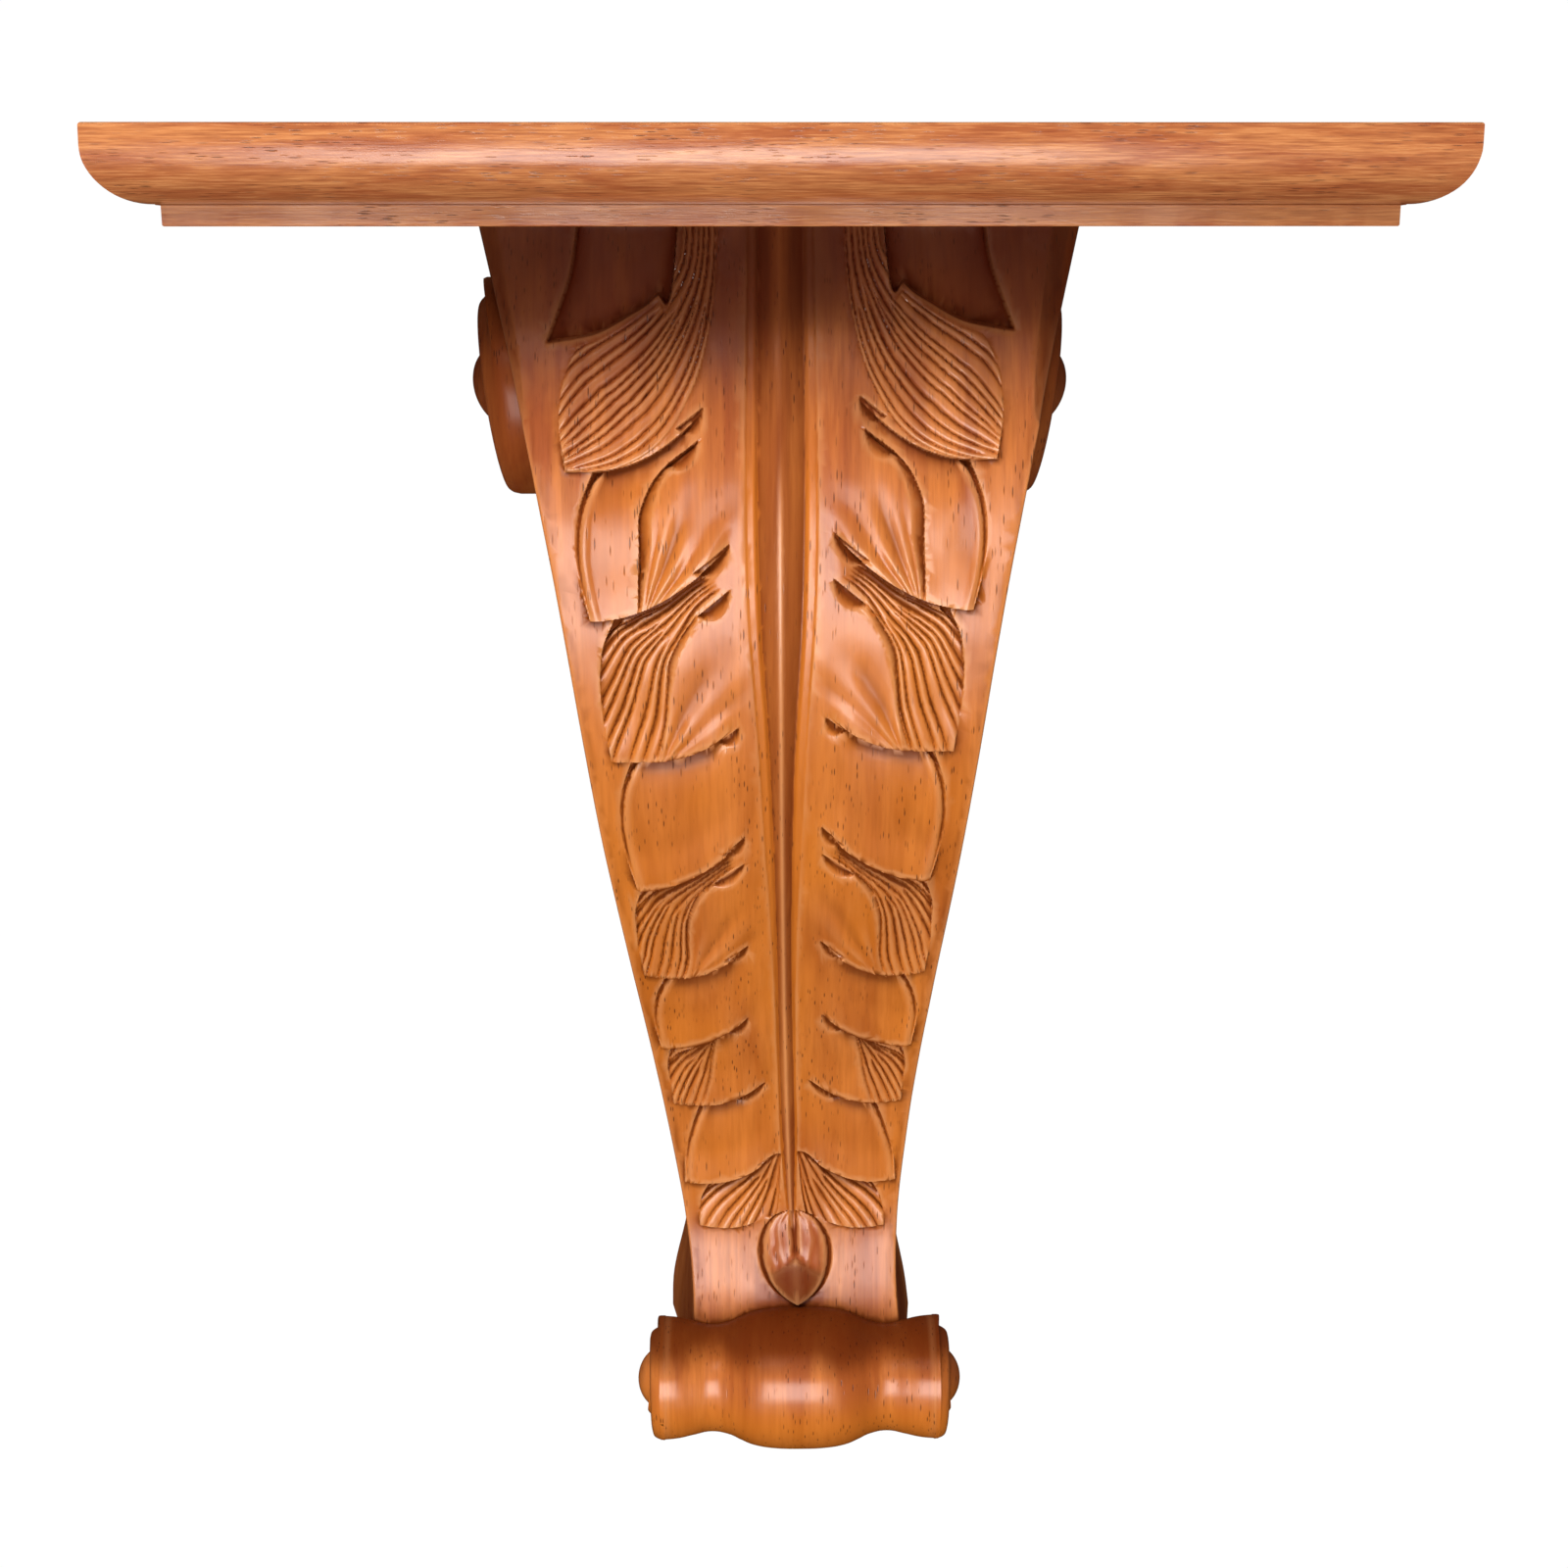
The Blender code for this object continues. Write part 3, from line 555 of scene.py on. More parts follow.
    def bud(self, wide: Array, drop: Array, height: Array) -> Array:
        """The drop-shaped bud that closes the rib, creased where the rib's point runs into it."""
        middle, place = self.bud_middle
        reach = np.where(drop < place, self.bud_up, self.bud_down)
        along = np.clip((drop - place) / reach, -1.0, 1.0)
        rounded_top = np.sqrt(np.maximum(1 - along ** 2, 0.0))
        pointed_foot = np.maximum(1 - np.abs(along) ** 2.1, 0.0) ** 0.62
        swell = self.bud_half * np.where(along > 0, pointed_foot, rounded_top)
        share = np.abs(wide - middle) / np.maximum(swell, 0.05)
        dome = np.maximum(1.0 - share ** 2.4, 0.0) ** 0.55
        belly = ease((drop - place + self.bud_up) / 20.0) * (1.0 - 0.45 * ease((drop - place - 4.0) / 20.0))
        heart = ease((place + 1.0 + 0.7 * np.abs(wide - middle) - drop) / 5.0 + 0.5)
        crease = 1.5 * bell((wide - middle) / 1.5) * heart
        keel = 0.5 * bell((wide - middle) / 3.0) * (1.0 - heart)
        rays = np.sin(share * 17.0 + drop * 0.25 + 1.5 * mottle(wide / 4.0, drop / 5.0, 5))
        ring = -1.3 * bell((share - 1.0) / 0.07) * (np.abs(along) < 1.0)
        fine = (keel + 0.14 * rays * heart - crease) * dome
        bud = 0.5 + self.bud_height * dome * belly + fine - 0.5 * heart
        inside = (share < 1.0) & (np.abs(along) < 1.0)
        return np.where(inside, bud, height) + np.where(share < 1.4, ring, 0.0)

    def height(self, wide: Array, drop: Array) -> Array:
        """Relief at places across and down the pattern, in millimetres."""
        first, last = (1.0 - ease((drop - place) / length) for place, length in self.lift_ends)
        lift = self.right_lift * (0.3 + 0.7 * first) * last
        right = wide > 0
        relief = np.zeros_like(wide)
        relief[~right] = self.leaves(-wide[~right], drop[~right], 11)
        relief[right] = self.leaves(wide[right], (drop + lift)[right], 47)
        waves, ripples = (tall * mottle(wide / across, drop / down, seed)
                          for tall, across, down, seed in self.hand_marks)
        relief += waves + ripples
        return self.bud(wide, drop, self.rib(wide, drop, relief))


def srgb(code: str) -> tuple[float, float, float, float]:
    """Turn a hex sRGB colour into linear light."""
    parts = [int(code[i:i + 2], 16) / 255.0 for i in (1, 3, 5)]
    return (*(c / 12.92 if c <= 0.04045 else ((c + 0.055) / 1.055) ** 2.4 for c in parts), 1.0)


def add_node(tree: Tree, kind: str, inputs: dict | None = None, **settings: object) -> bpy.types.Node:
    """Add a node with its settings, values and links.

    Args:
        tree: The node tree.
        kind: The node's type name.
        inputs: Values, or output sockets to link, by socket name or number.
        **settings: Properties of the node.

    Returns:
        The new node.
    """
    node = tree.nodes.new(kind)
    for name, value in settings.items():
        setattr(node, name, value)
    for key, value in (inputs or {}).items():
        if isinstance(value, Socket):
            tree.links.new(value, node.inputs[key])
        else:
            node.inputs[key].default_value = value
    return node


def reckon(tree: Tree, operation: str, *values: object) -> Socket:
    """Add one step of arithmetic to a tree and return its result."""
    return add_node(tree, "ShaderNodeMath", dict(enumerate(values)), operation=operation).outputs[0]


@dataclass(frozen=True)
class VarnishedMahogany:
    """Red-brown mahogany, worked by hand and finished with satin varnish.

    The open pores show as short dark dashes along the grain. Painted shade darkens the cuts and the corbel's
    top under the board, the high edges are paler, partly worn and partly painted highlight, and a golden
    tone also carries painted bounce light on the roll.
    """

    name: str
    grain: Grain
    pale: str = "#C47033"
    middle: str = "#9C4C20"
    deep: str = "#7C3716"
    # Golden tone of the face's middle, also the colour of the painted bounce light on the roll's underside
    gilt: str = "#C86E14"
    pore: str = "#34130A"
    # Colour of the painted shade in the cuts and hollows
    cut: str = "#5E2409"
    # Pale colour of worn edges, also used for the painted highlights on the rib's crest and the fillet's
    # edge
    rubbed_and_highlight: str = "#D6955F"
    # Colour of the painted shadow that the board casts over the corbel's top
    shade_under_shelf: str = "#401208"
    figure_mm: float = 14.0
    figure_stretch: float = 9.0
    streak_mm: float = 1.6
    streak_stretch: float = 22.0
    pore_mm: float = 0.9
    pore_length_mm: float = 8.0
    pore_chance: float = 0.50
    clump_mm: Point = (12.0, 40.0)
    streak_strength: float = 0.55
    light_streaks: float = 0.0
    varnish_roughness: float = 0.20
    side_stretch: float = 0.3

    def coordinates(self, tree: Tree, across: float, along: float) -> Socket:
        """Object coordinates stretched along the grain, one unit for each given number of millimetres."""
        place = add_node(tree, "ShaderNodeTexCoord")
        scale = [1000.0 / across] * 3
        scale[self.grain.value] = 1000.0 / along
        if self.grain is Grain.UPRIGHT:
            scale[1] = 1000.0 / (self.side_stretch * along)
        moved = add_node(tree, "ShaderNodeMapping", {"Vector": place.outputs["Object"], "Scale": scale})
        return moved.outputs["Vector"]

    def noise(self, tree: Tree, across: float, along: float, **inputs: float) -> Socket:
        """Cloudy pattern stretched along the grain."""
        place = self.coordinates(tree, across, along)
        return add_node(tree, "ShaderNodeTexNoise", {"Vector": place, "Scale": 1.0, **inputs}).outputs["Fac"]

    def ranged(self, tree: Tree, value: Socket, low: float, high: float,
               first: float = 0.0, last: float = 1.0) -> Socket:
        """Stretch a value from low..high to first..last."""
        node = add_node(tree, "ShaderNodeMapRange", {"Value": value, "From Min": low, "From Max": high,
                                                     "To Min": first, "To Max": last})
        return node.outputs["Result"]

    def mark(self, tree: Tree, name: str) -> Socket:
        """Read one of the values noted on the mesh."""
        node = add_node(tree, "ShaderNodeAttribute", attribute_name=name, attribute_type='GEOMETRY')
        return node.outputs["Fac"]

    def tinted(self, tree: Tree, colour: object, tint: str, factor: Socket,
               strength: float = 1.0, low: float = 0.0, high: float = 1.0) -> Socket:
        """Lay a tint over a colour.

        Args:
            tree: The material's tree.
            colour: The colour under it.
            tint: Hex colour laid over it.
            factor: Where it is laid.
            strength: How fully it covers where the factor reaches high.
            low: Factor at which it begins.
            high: Factor at which it is full.

        Returns:
            The mixed colour.
        """
        cover = self.ranged(tree, factor, low, high, 0.0, strength)
        node = add_node(tree, "ShaderNodeMix", {0: cover, 6: colour, 7: srgb(tint)}, data_type='RGBA')
        return node.outputs[2]

    def pores(self, tree: Tree) -> Socket:
        """Short dashes along the grain, in clumps."""
        place = self.coordinates(tree, self.pore_mm, self.pore_length_mm)
        cells = add_node(tree, "ShaderNodeTexVoronoi", {"Vector": place, "Scale": 1.0, "Randomness": 1.0})
        chance = add_node(tree, "ShaderNodeSeparateColor", {"Color": cells.outputs["Color"]}).outputs[0]
        dash = self.ranged(tree, cells.outputs["Distance"], 0.30, 0.16)
        kept = self.ranged(tree, chance, self.pore_chance, self.pore_chance + 0.1)
        thick = self.ranged(tree, self.noise(tree, *self.clump_mm, Detail=1.0), 0.38, 0.60)
        return reckon(tree, 'MULTIPLY', reckon(tree, 'MULTIPLY', dash, kept), thick)

    def make(self) -> Material:
        """Build the material."""
        material = bpy.data.materials.new(self.name)
        material.use_nodes = True
        tree = material.node_tree
        figure = self.noise(tree, self.figure_mm, self.figure_mm * self.figure_stretch, Detail=3.0,
                            Roughness=0.55, Distortion=0.6)
        streak = self.noise(tree, self.streak_mm, self.streak_mm * self.streak_stretch, Detail=4.0,
                            Roughness=0.6)
        pores, hollow_shade = self.pores(tree), self.mark(tree, "hollow_shade")
        colour = self.tinted(tree, srgb(self.middle), self.pale, figure, 1.0, 0.36, 0.62)
        colour = self.tinted(tree, colour, self.deep, streak, self.streak_strength, 0.42, 0.78)
        colour = self.tinted(tree, colour, self.rubbed_and_highlight, streak, self.light_streaks, 0.44, 0.34)
        # Golden tone, with painted bounce light on the roll's underside
        colour = self.tinted(tree, colour, self.gilt, self.mark(tree, "golden_and_bounce_light"), 0.6)
        # Painted shade in the carving's hollows, on the roll's top, the bud's tip and the side faces
        colour = self.tinted(tree, colour, self.cut, hollow_shade, 0.85)
        # Paler edges: wear on the proud carving, and painted highlight on the rib's crest and the board's
        # fillet
        colour = self.tinted(tree, colour, self.rubbed_and_highlight, self.mark(tree, "arris"), 0.5)
        # Painted shadow of the board over the corbel's top
        colour = self.tinted(tree, colour, self.shade_under_shelf, self.mark(tree, "shade_under_shelf"), 0.9)
        colour = self.tinted(tree, colour, self.pore, pores, 0.75)
        sunk = reckon(tree, 'SUBTRACT', reckon(tree, 'MULTIPLY', streak, 0.35), pores)
        dents = {"Height": sunk, "Strength": 0.35, "Distance": 0.00025}
        bump = add_node(tree, "ShaderNodeBump", dents).outputs[0]
        # The varnish is duller in the cuts, where the colour also carries painted shade
        linked = {"Base Color": colour, "Normal": bump, "Coat Normal": bump,
                  "Roughness": reckon(tree, 'MULTIPLY_ADD', streak, 0.25, 0.36),
                  "Specular IOR Level": self.ranged(tree, hollow_shade, 0.0, 1.0, 0.15, 0.02),
                  "Coat Weight": self.ranged(tree, hollow_shade, 0.0, 1.0, 1.0, 0.12)}
        inputs = tree.nodes["Principled BSDF"].inputs
        for name, socket in linked.items():
            tree.links.new(socket, inputs[name])
        inputs["IOR"].default_value = inputs["Coat IOR"].default_value = 1.5
        inputs["Coat Roughness"].default_value = self.varnish_roughness
        return material


def show(name: str, mesh: Mesh, material: Material | None = None) -> Thing:
    """Put a mesh in the scene as an object at the origin."""
    obj = bpy.data.objects.new(name, mesh)
    if material is not None:
        mesh.materials.clear()
        mesh.materials.append(material)
    bpy.context.scene.collection.objects.link(obj)
    return obj


def settled(obj: Thing) -> Mesh:
    """Return the object's mesh with its modifiers applied, and remove the object."""
    mesh = bpy.data.meshes.new_from_object(obj.evaluated_get(bpy.context.evaluated_depsgraph_get()))
    bpy.data.objects.remove(obj, do_unlink=True)
    return mesh


class ShapeTree:
    """Geometry Nodes tree that makes a closed mesh from named sizes."""

    NAME = "shape"
    SIZES: tuple[str, ...] = ()
    COUNTS: tuple[str, ...] = ()
    WELD = 0.00002

    def __init__(self) -> None:
        self.tree = bpy.data.node_groups.new(self.NAME, "GeometryNodeTree")
        self.tree.interface.new_socket("Geometry", in_out='OUTPUT', socket_type='NodeSocketGeometry')
        for name in self.SIZES:
            self.tree.interface.new_socket(name, in_out='INPUT', socket_type='NodeSocketFloat')
        for name in self.COUNTS:
            self.tree.interface.new_socket(name, in_out='INPUT', socket_type='NodeSocketInt')
        self.tree.interface.new_socket("Material", in_out='INPUT', socket_type='NodeSocketMaterial')
        self.given = add_node(self.tree, "NodeGroupInput").outputs
        grid = add_node(self.tree, "GeometryNodeMeshGrid", {
            "Size X": 1.0, "Size Y": 1.0, "Vertices X": self.given[self.COUNTS[0]],
            "Vertices Y": self.given[self.COUNTS[1]]})
        spot = add_node(self.tree, "GeometryNodeInputPosition").outputs[0]
        self.place = add_node(self.tree, "ShaderNodeSeparateXYZ", {0: spot}).outputs
        x, y, z = self.bend()
        target = add_node(self.tree, "ShaderNodeCombineXYZ", {0: x, 1: y, 2: z}).outputs[0]
        moved = self.on_mesh("SetPosition", grid.outputs["Mesh"], Position=target)
        welded = self.on_mesh("MergeByDistance", moved, Distance=self.WELD)
        real = self.on_mesh("RealizeInstances", welded)
        add_node(self.tree, "NodeGroupOutput",
                 {0: self.on_mesh("SetMaterial", real, Material=self.given["Material"])})

    def bend(self) -> tuple[Socket, Socket, Socket]:
        """Where each point of the flat grid goes."""
        raise NotImplementedError

    def on_mesh(self, kind: str, mesh: Socket, **inputs: object) -> Socket:
        """Pass the mesh through one more node."""
        return add_node(self.tree, "GeometryNode" + kind, {0: mesh, **inputs}).outputs[0]

    def maths(self, operation: str, *values: object) -> Socket:
        """Work out one step of arithmetic."""
        return reckon(self.tree, operation, *values)

    def mesh(self, name: str, sizes: dict[str, float], material: Material) -> Mesh:
        """Make one closed mesh.

        Args:
            name: Name of the mesh.
            sizes: The tree's lengths in metres and its counts, by input name.
            material: Its finish.

        Returns:
            The mesh, with its open ends filled.
        """
        obj = show(name, bpy.data.meshes.new(name))
        modifier = obj.modifiers.new("shape", 'NODES')
        modifier.node_group = self.tree
        values = {**sizes, "Material": material}
        for item in self.tree.interface.items_tree:
            if item.in_out == 'INPUT':
                modifier[item.identifier] = values[item.name]
        mesh = settled(obj)
        bm = bmesh.new()
        bm.from_mesh(mesh)
        bmesh.ops.remove_doubles(bm, verts=bm.verts, dist=self.WELD)
        bmesh.ops.holes_fill(bm, edges=[e for e in bm.edges if e.is_boundary], sides=0)
        bmesh.ops.recalc_face_normals(bm, faces=bm.faces)
        bm.to_mesh(mesh)
        bm.free()
        return mesh


class ScrollTree(ShapeTree):
    """Tree for a round scroll: a band wound in a spiral round a domed boss.

    It lies in the XY plane and stands up along +Z; the spiral's groove is cut into its top.
    """

    NAME = "wound_scroll"
    SIZES = ("Radius", "Boss Radius", "Band Height", "Groove Depth", "Turns", "Boss Height", "Edge Round",
             "Base Depth", "Cone Rise")
    COUNTS = ("Sides", "Rings")

    def bend(self) -> tuple[Socket, Socket, Socket]:
        """Lay the grid out as a disc with an upright edge, and lift it to the scroll's height."""
        maths = self.maths
        radius, boss, band, groove, turns = (self.given[name] for name in self.SIZES[:5])
        boss_height, edge, base, rise = (self.given[name] for name in self.SIZES[5:])
        around = maths('MULTIPLY', maths('ADD', self.place["X"], 0.5), 2 * math.pi)
        # The inner nine tenths of the grid are the top, the outer tenth is the upright edge
        share = maths('DIVIDE', maths('ADD', self.place["Y"], 0.5), 0.9)
        reach = maths('MULTIPLY', maths('MINIMUM', share, 1.0), radius)
        pitch = maths('DIVIDE', maths('SUBTRACT', radius, boss), turns)
        wound = maths('DIVIDE', maths('SUBTRACT', radius, reach), pitch)
        phase = maths('SUBTRACT', wound, maths('DIVIDE', around, 2 * math.pi))
        wave = maths('COSINE', maths('MULTIPLY', phase, math.pi))
        cut = maths('POWER', maths('ABSOLUTE', wave), 4.0)
        cone = maths('MULTIPLY', rise, maths('SUBTRACT', 1.0, maths('DIVIDE', reach, radius)))
        body = maths('SUBTRACT', maths('ADD', band, cone), maths('MULTIPLY', groove, cut))
        inward = maths('DIVIDE', reach, boss)
        low = maths('SUBTRACT', band, groove)
        knob = maths('ADD', low, maths('MULTIPLY', self.arch(inward), maths('SUBTRACT', boss_height, low)))
        on_boss = maths('LESS_THAN', inward, 1.0)
        top = maths('ADD', maths('MULTIPLY', knob, on_boss),
                    maths('MULTIPLY', body, maths('SUBTRACT', 1.0, on_boss)))
        over_edge = maths('MAXIMUM', maths('SUBTRACT', reach, maths('SUBTRACT', radius, edge)), 0.0)
        turned = self.arch(maths('DIVIDE', over_edge, edge))
        eased = maths('SUBTRACT', top, maths('MULTIPLY', edge, maths('SUBTRACT', 1.0, turned)))
        down = maths('MULTIPLY', maths('MAXIMUM', maths('SUBTRACT', share, 1.0), 0.0), 9.0)
        height = maths('SUBTRACT', eased, maths('MULTIPLY', down, maths('ADD', eased, base)))
        return (maths('MULTIPLY', reach, maths('COSINE', around)),
                maths('MULTIPLY', reach, maths('SINE', around)), height)

    def arch(self, place: Socket) -> Socket:
        """Height of a quarter circle that falls from 1 to 0."""
        left = self.maths('SUBTRACT', 1.0, self.maths('MULTIPLY', place, place))
        return self.maths('SQRT', self.maths('MAXIMUM', left, 0.0))


class LatheTree(ShapeTree):
    """Tree for a turned piece: its radius follows a curve along its axis, X."""

    NAME = "turned_roll"
    SIZES = ("Length", "Radius")
    COUNTS = ("Stations", "Sides")

    def __init__(self, outline: Line) -> None:
        """Take the outline, as (share of the length, share of the greatest radius)."""
        self.outline = outline
        super().__init__()

    def bend(self) -> tuple[Socket, Socket, Socket]:
        """Wrap the grid round the axis at the outline's radius."""
        maths = self.maths
        curve = add_node(self.tree, "ShaderNodeFloatCurve", {"Value": maths('ADD', self.place["X"], 0.5)})
        points = curve.mapping.curves[0].points
        for spot in self.outline[2:]:
            points.new(*spot)
        for spot, (x, y) in zip(points, sorted(self.outline)):
            spot.location = (x, y)
            spot.handle_type = 'AUTO_CLAMPED'
        curve.mapping.update()
        radius = maths('MULTIPLY', curve.outputs[0], self.given["Radius"])
        turn = maths('MULTIPLY', self.place["Y"], 2 * math.pi)
        return (maths('MULTIPLY', self.place["X"], self.given["Length"]),
                maths('MULTIPLY', radius, maths('COSINE', turn)),
                maths('MULTIPLY', radius, maths('SINE', turn)))


@dataclass
class Spots:
    """Where the vertices of the finished corbel are; each field has one entry for each vertex."""

    place: Array       # x, y, z in metres
    drop: Array        # millimetres under the board
    shown: Array       # drop in metres, kept on the face
    across: Array      # pattern millimetres right of the middle
    pattern: Array     # pattern millimetres down
    on_roll: Array
    on_face: Array


@dataclass
class Corbel:
    """The corbel, carved from one block: leafy face, side volutes and the turned scroll roll."""

    hanger_drop: float = 0.100
    roll_drop: float = 0.4555
    top_width: float = 0.207
    joint_gap: float = 0.0003
    foot_drift: float = 0.008
    left_chamfer: float = 0.0065
    right_chamfer: float = 0.0105
    chamfer_drop: float = 0.066
    left_flare: float = 0.010
    right_flare: float = 0.005
    arris_round: float = 0.0009
    roll_depth: float = 0.068
    roll_length: float = 0.116
    barrel_radius: float = 0.0282
    end_inset: float = 0.005
    roll_counts: tuple[int, int] = (72, 104)
    volute_drop: float = 0.057
    volute_depth: float = 0.097
    volute_lean: float = 0.0035
    pattern_drop: float = 455.5
    pattern_half: float = 103.5
    volute_sizes: dict = field(default_factory=lambda: {
        "Radius": 0.038, "Boss Radius": 0.0145, "Band Height": 0.0115, "Groove Depth": 0.0045, "Turns": 1.5,
        "Boss Height": 0.0185, "Edge Round": 0.0025, "Base Depth": 0.0115, "Cone Rise": 0.0, "Sides": 112,
        "Rings": 72})
    end_sizes: dict = field(default_factory=lambda: {
        "Radius": 0.0245, "Boss Radius": 0.0125, "Band Height": 0.0, "Groove Depth": 0.0038, "Turns": 1.25,
        "Boss Height": 0.0068, "Edge Round": 0.0016, "Base Depth": 0.0040, "Cone Rise": 0.0060, "Sides": 88,
        "Rings": 48})
    roll_outline: Line = ((0.0, 0.866), (0.06, 0.845), (0.12, 0.795), (0.185, 0.750), (0.24, 0.785),
                          (0.29, 0.87), (0.335, 0.94), (0.40, 0.985), (0.5, 1.0), (0.60, 0.985),
                          (0.665, 0.94), (0.71, 0.87), (0.76, 0.785), (0.815, 0.750), (0.88, 0.795),
                          (0.94, 0.845), (1.0, 0.866))
    rows: int = 1200
    columns: int = 480
    face_triangles: int = 126000
    scroll_profile: Line = ((0, 122), (50, 142), (104, 150), (160, 145), (220, 126), (280, 97), (340, 69),
                            (390, 57.5), (430, 61), (455.5, 60))
    side_outline: Line = ((0, 103.5), (45, 92), (107, 79.7), (225, 63.7), (353, 46.6), (390, 42.5),
                          (418, 41), (455.5, 43))

    def __post_init__(self) -> None:
        """Work out how the pattern is stretched onto the face."""
        self.down_scale = self.roll_drop / (self.pattern_drop * MM)
        self.out_scale = self.top_width / (2 * self.pattern_half * MM)
        self.carving = FaceCarving()

    def reach(self, drop: Array) -> Array:
        """Distance of the uncarved face from the wall."""
        return through(self.scroll_profile, drop / (MM * self.down_scale)) * MM

    def half_width(self, drop: Array) -> Array:
        """Half the width of the front face."""
        return through(self.side_outline, drop / (MM * self.down_scale)) * MM * self.out_scale

    def middle(self, drop: Array) -> Array:
        """Sideways place of the corbel's middle, which drifts towards the foot."""
        return self.foot_drift * (drop / self.roll_drop) ** 3

    def chamfer_width(self, across: Array, drop: Array) -> Array:
        """Width of the stopped chamfer on each side."""
        full = np.where(across < 0, self.left_chamfer, self.right_chamfer)
        return full * np.sqrt(clamp(1.0 - drop / self.chamfer_drop))

    def chamfer(self, across: Array, drop: Array, half: Array) -> Array:
        """How far the stopped chamfer and the worn arris cut the front corner back."""
        slant = np.clip(np.abs(across) - (half - self.chamfer_width(across, drop)), 0.0, None)
        t = clamp((np.abs(across) - (half - self.arris_round)) / self.arris_round)
        return slant + self.arris_round * (1.0 - np.sqrt(1.0 - 0.98 * t * t))

    def face_points(self, side: Array, drop: Array) -> Array:
        """Places of the carved face, with the relief standing square to it.

        Args:
            side: From -1 at the left edge to 1 at the right edge.
            drop: Distances down from the board.

        Returns:
            The points, as x, y and z.
        """
        half = self.half_width(drop)
        across = side * half
        nudge = 0.0005
        slope = (self.reach(drop + nudge) - self.reach(drop - nudge)) / (2 * nudge)
        arc = np.sqrt(1.0 + slope ** 2)
        relief = self.carving.height(across / (MM * self.out_scale), drop / (MM * self.down_scale))
        square = ease((drop - 0.001) / 0.004)
        lift = relief * MM
        y = self.reach(drop) + lift * (square / arc + (1.0 - square) * arc)
        y = y - self.chamfer(across, drop, half)
        z = self.hanger_drop - drop + lift * square * slope / arc
        return np.stack([across + self.middle(drop), -y, z], axis=-1)

    def face_mesh(self) -> Mesh:
        """The carved front as an open mesh, thinned where it is smooth."""
        edge = np.array([0.0, 0.0015, 0.0035, 0.006, 0.010])
        inner = np.linspace(-0.985, 0.985, self.columns)
        sides = np.concatenate([-1.0 + edge, inner, 1.0 - edge[::-1]])
        drops = np.linspace(self.joint_gap, self.roll_drop, self.rows)
        side, drop = np.meshgrid(sides, drops)
        points = self.face_points(side, drop)
        mesh = bpy.data.meshes.new("carved_face")
        wide = len(sides)
        corner = np.arange(self.rows - 1)[:, None] * wide + np.arange(wide - 1)[None, :]
        quads = np.stack([corner, corner + wide, corner + wide + 1, corner + 1], axis=-1).reshape(-1, 4)
        mesh.from_pydata(points.reshape(-1, 3).tolist(), [], quads.tolist())
        face = show("carved_face", mesh)
        face.modifiers.new("split", 'TRIANGULATE')
        thin = face.modifiers.new("thin", 'DECIMATE')
        thin.ratio = min(1.0, self.face_triangles / (2 * len(quads)))
        return settled(face)

    def block(self, material: Material) -> Thing:
        """Close the carved face with the two sides, the flat top and the flat back."""
        bm = bmesh.new()
        bm.from_mesh(self.face_mesh())
        top, bottom = self.hanger_drop - self.joint_gap, self.hanger_drop - self.roll_drop
        rim = [edge for edge in bm.edges if edge.is_boundary]
        front = bm.verts.layers.float_vector.new("front")
        for vert in {vert for edge in rim for vert in edge.verts}:
            if vert.co.z > top - 0.0003:
                vert.co.z = top
            if vert.co.z < bottom + 0.0003:
                vert.co.z = bottom
            vert[front] = vert.co
        for share in (0.03, 0.2, 0.45, 0.7, 1.0):
            grown = bmesh.ops.extrude_edge_only(bm, edges=rim)["geom"]
            made = [item for item in grown if isinstance(item, bmesh.types.BMVert)]
            rim = [item for item in grown if isinstance(item, bmesh.types.BMEdge) and item.is_boundary]
            for vert in made:
                start = vert[front]
                drop = self.hanger_drop - start.z
                aside = (start.x - self.middle(drop)) / float(self.half_width(np.array(drop)))
                flare = self.left_flare if aside < 0 else self.right_flare
                flare *= float(ease(np.array((drop / self.roll_drop - 0.86) / 0.12)))
                vert.co = (start.x + flare * share * aside, start.y * (1.0 - share), start.z)
        bmesh.ops.contextual_create(bm, geom=rim)
        bmesh.ops.triangulate(bm, faces=[face for face in bm.faces if len(face.verts) > 4])
        bm.verts.layers.float_vector.remove(front)
        bmesh.ops.recalc_face_normals(bm, faces=bm.faces)
        mesh = bpy.data.meshes.new("corbel_block")
        bm.to_mesh(mesh)
        bm.free()
        return show("corbel", mesh, material)

    def straight_side(self, drop: float) -> float:
        """Half width of the side face's straight taper, carried on up past the flare under the board."""
        low, high = self.side_outline[3], self.side_outline[2]
        slope = (high[1] - low[1]) / (high[0] - low[0])
        return (high[1] + slope * (drop / (MM * self.down_scale) - high[0])) * MM * self.out_scale

    def volutes(self, scroll: ScrollTree, material: Material) -> list[Thing]:
        """The two spiral scrolls that stand on the side faces."""
        nudge = 0.01
        upper, lower = (self.straight_side(self.volute_drop + step) for step in (-nudge, nudge))
        slope = (lower - upper) / (2 * nudge)
        middle = self.middle(self.volute_drop) - self.volute_lean
        stand = self.straight_side(self.volute_drop)
        made = []
        for side in Side:
            sign = side.value
            mesh = scroll.mesh("volute", self.volute_sizes, material)
            mesh.transform(Matrix(((0, -sign * slope, sign, middle + sign * stand),
                                   (-1, 0, 0, -self.volute_depth),
                                   (0, 1, 0, self.hanger_drop - self.volute_drop),
                                   (0, 0, 0, 1))))
            if sign < 0:
                mesh.flip_normals()
            made.append(show(side.name.lower() + "_volute", mesh, material))
        return made

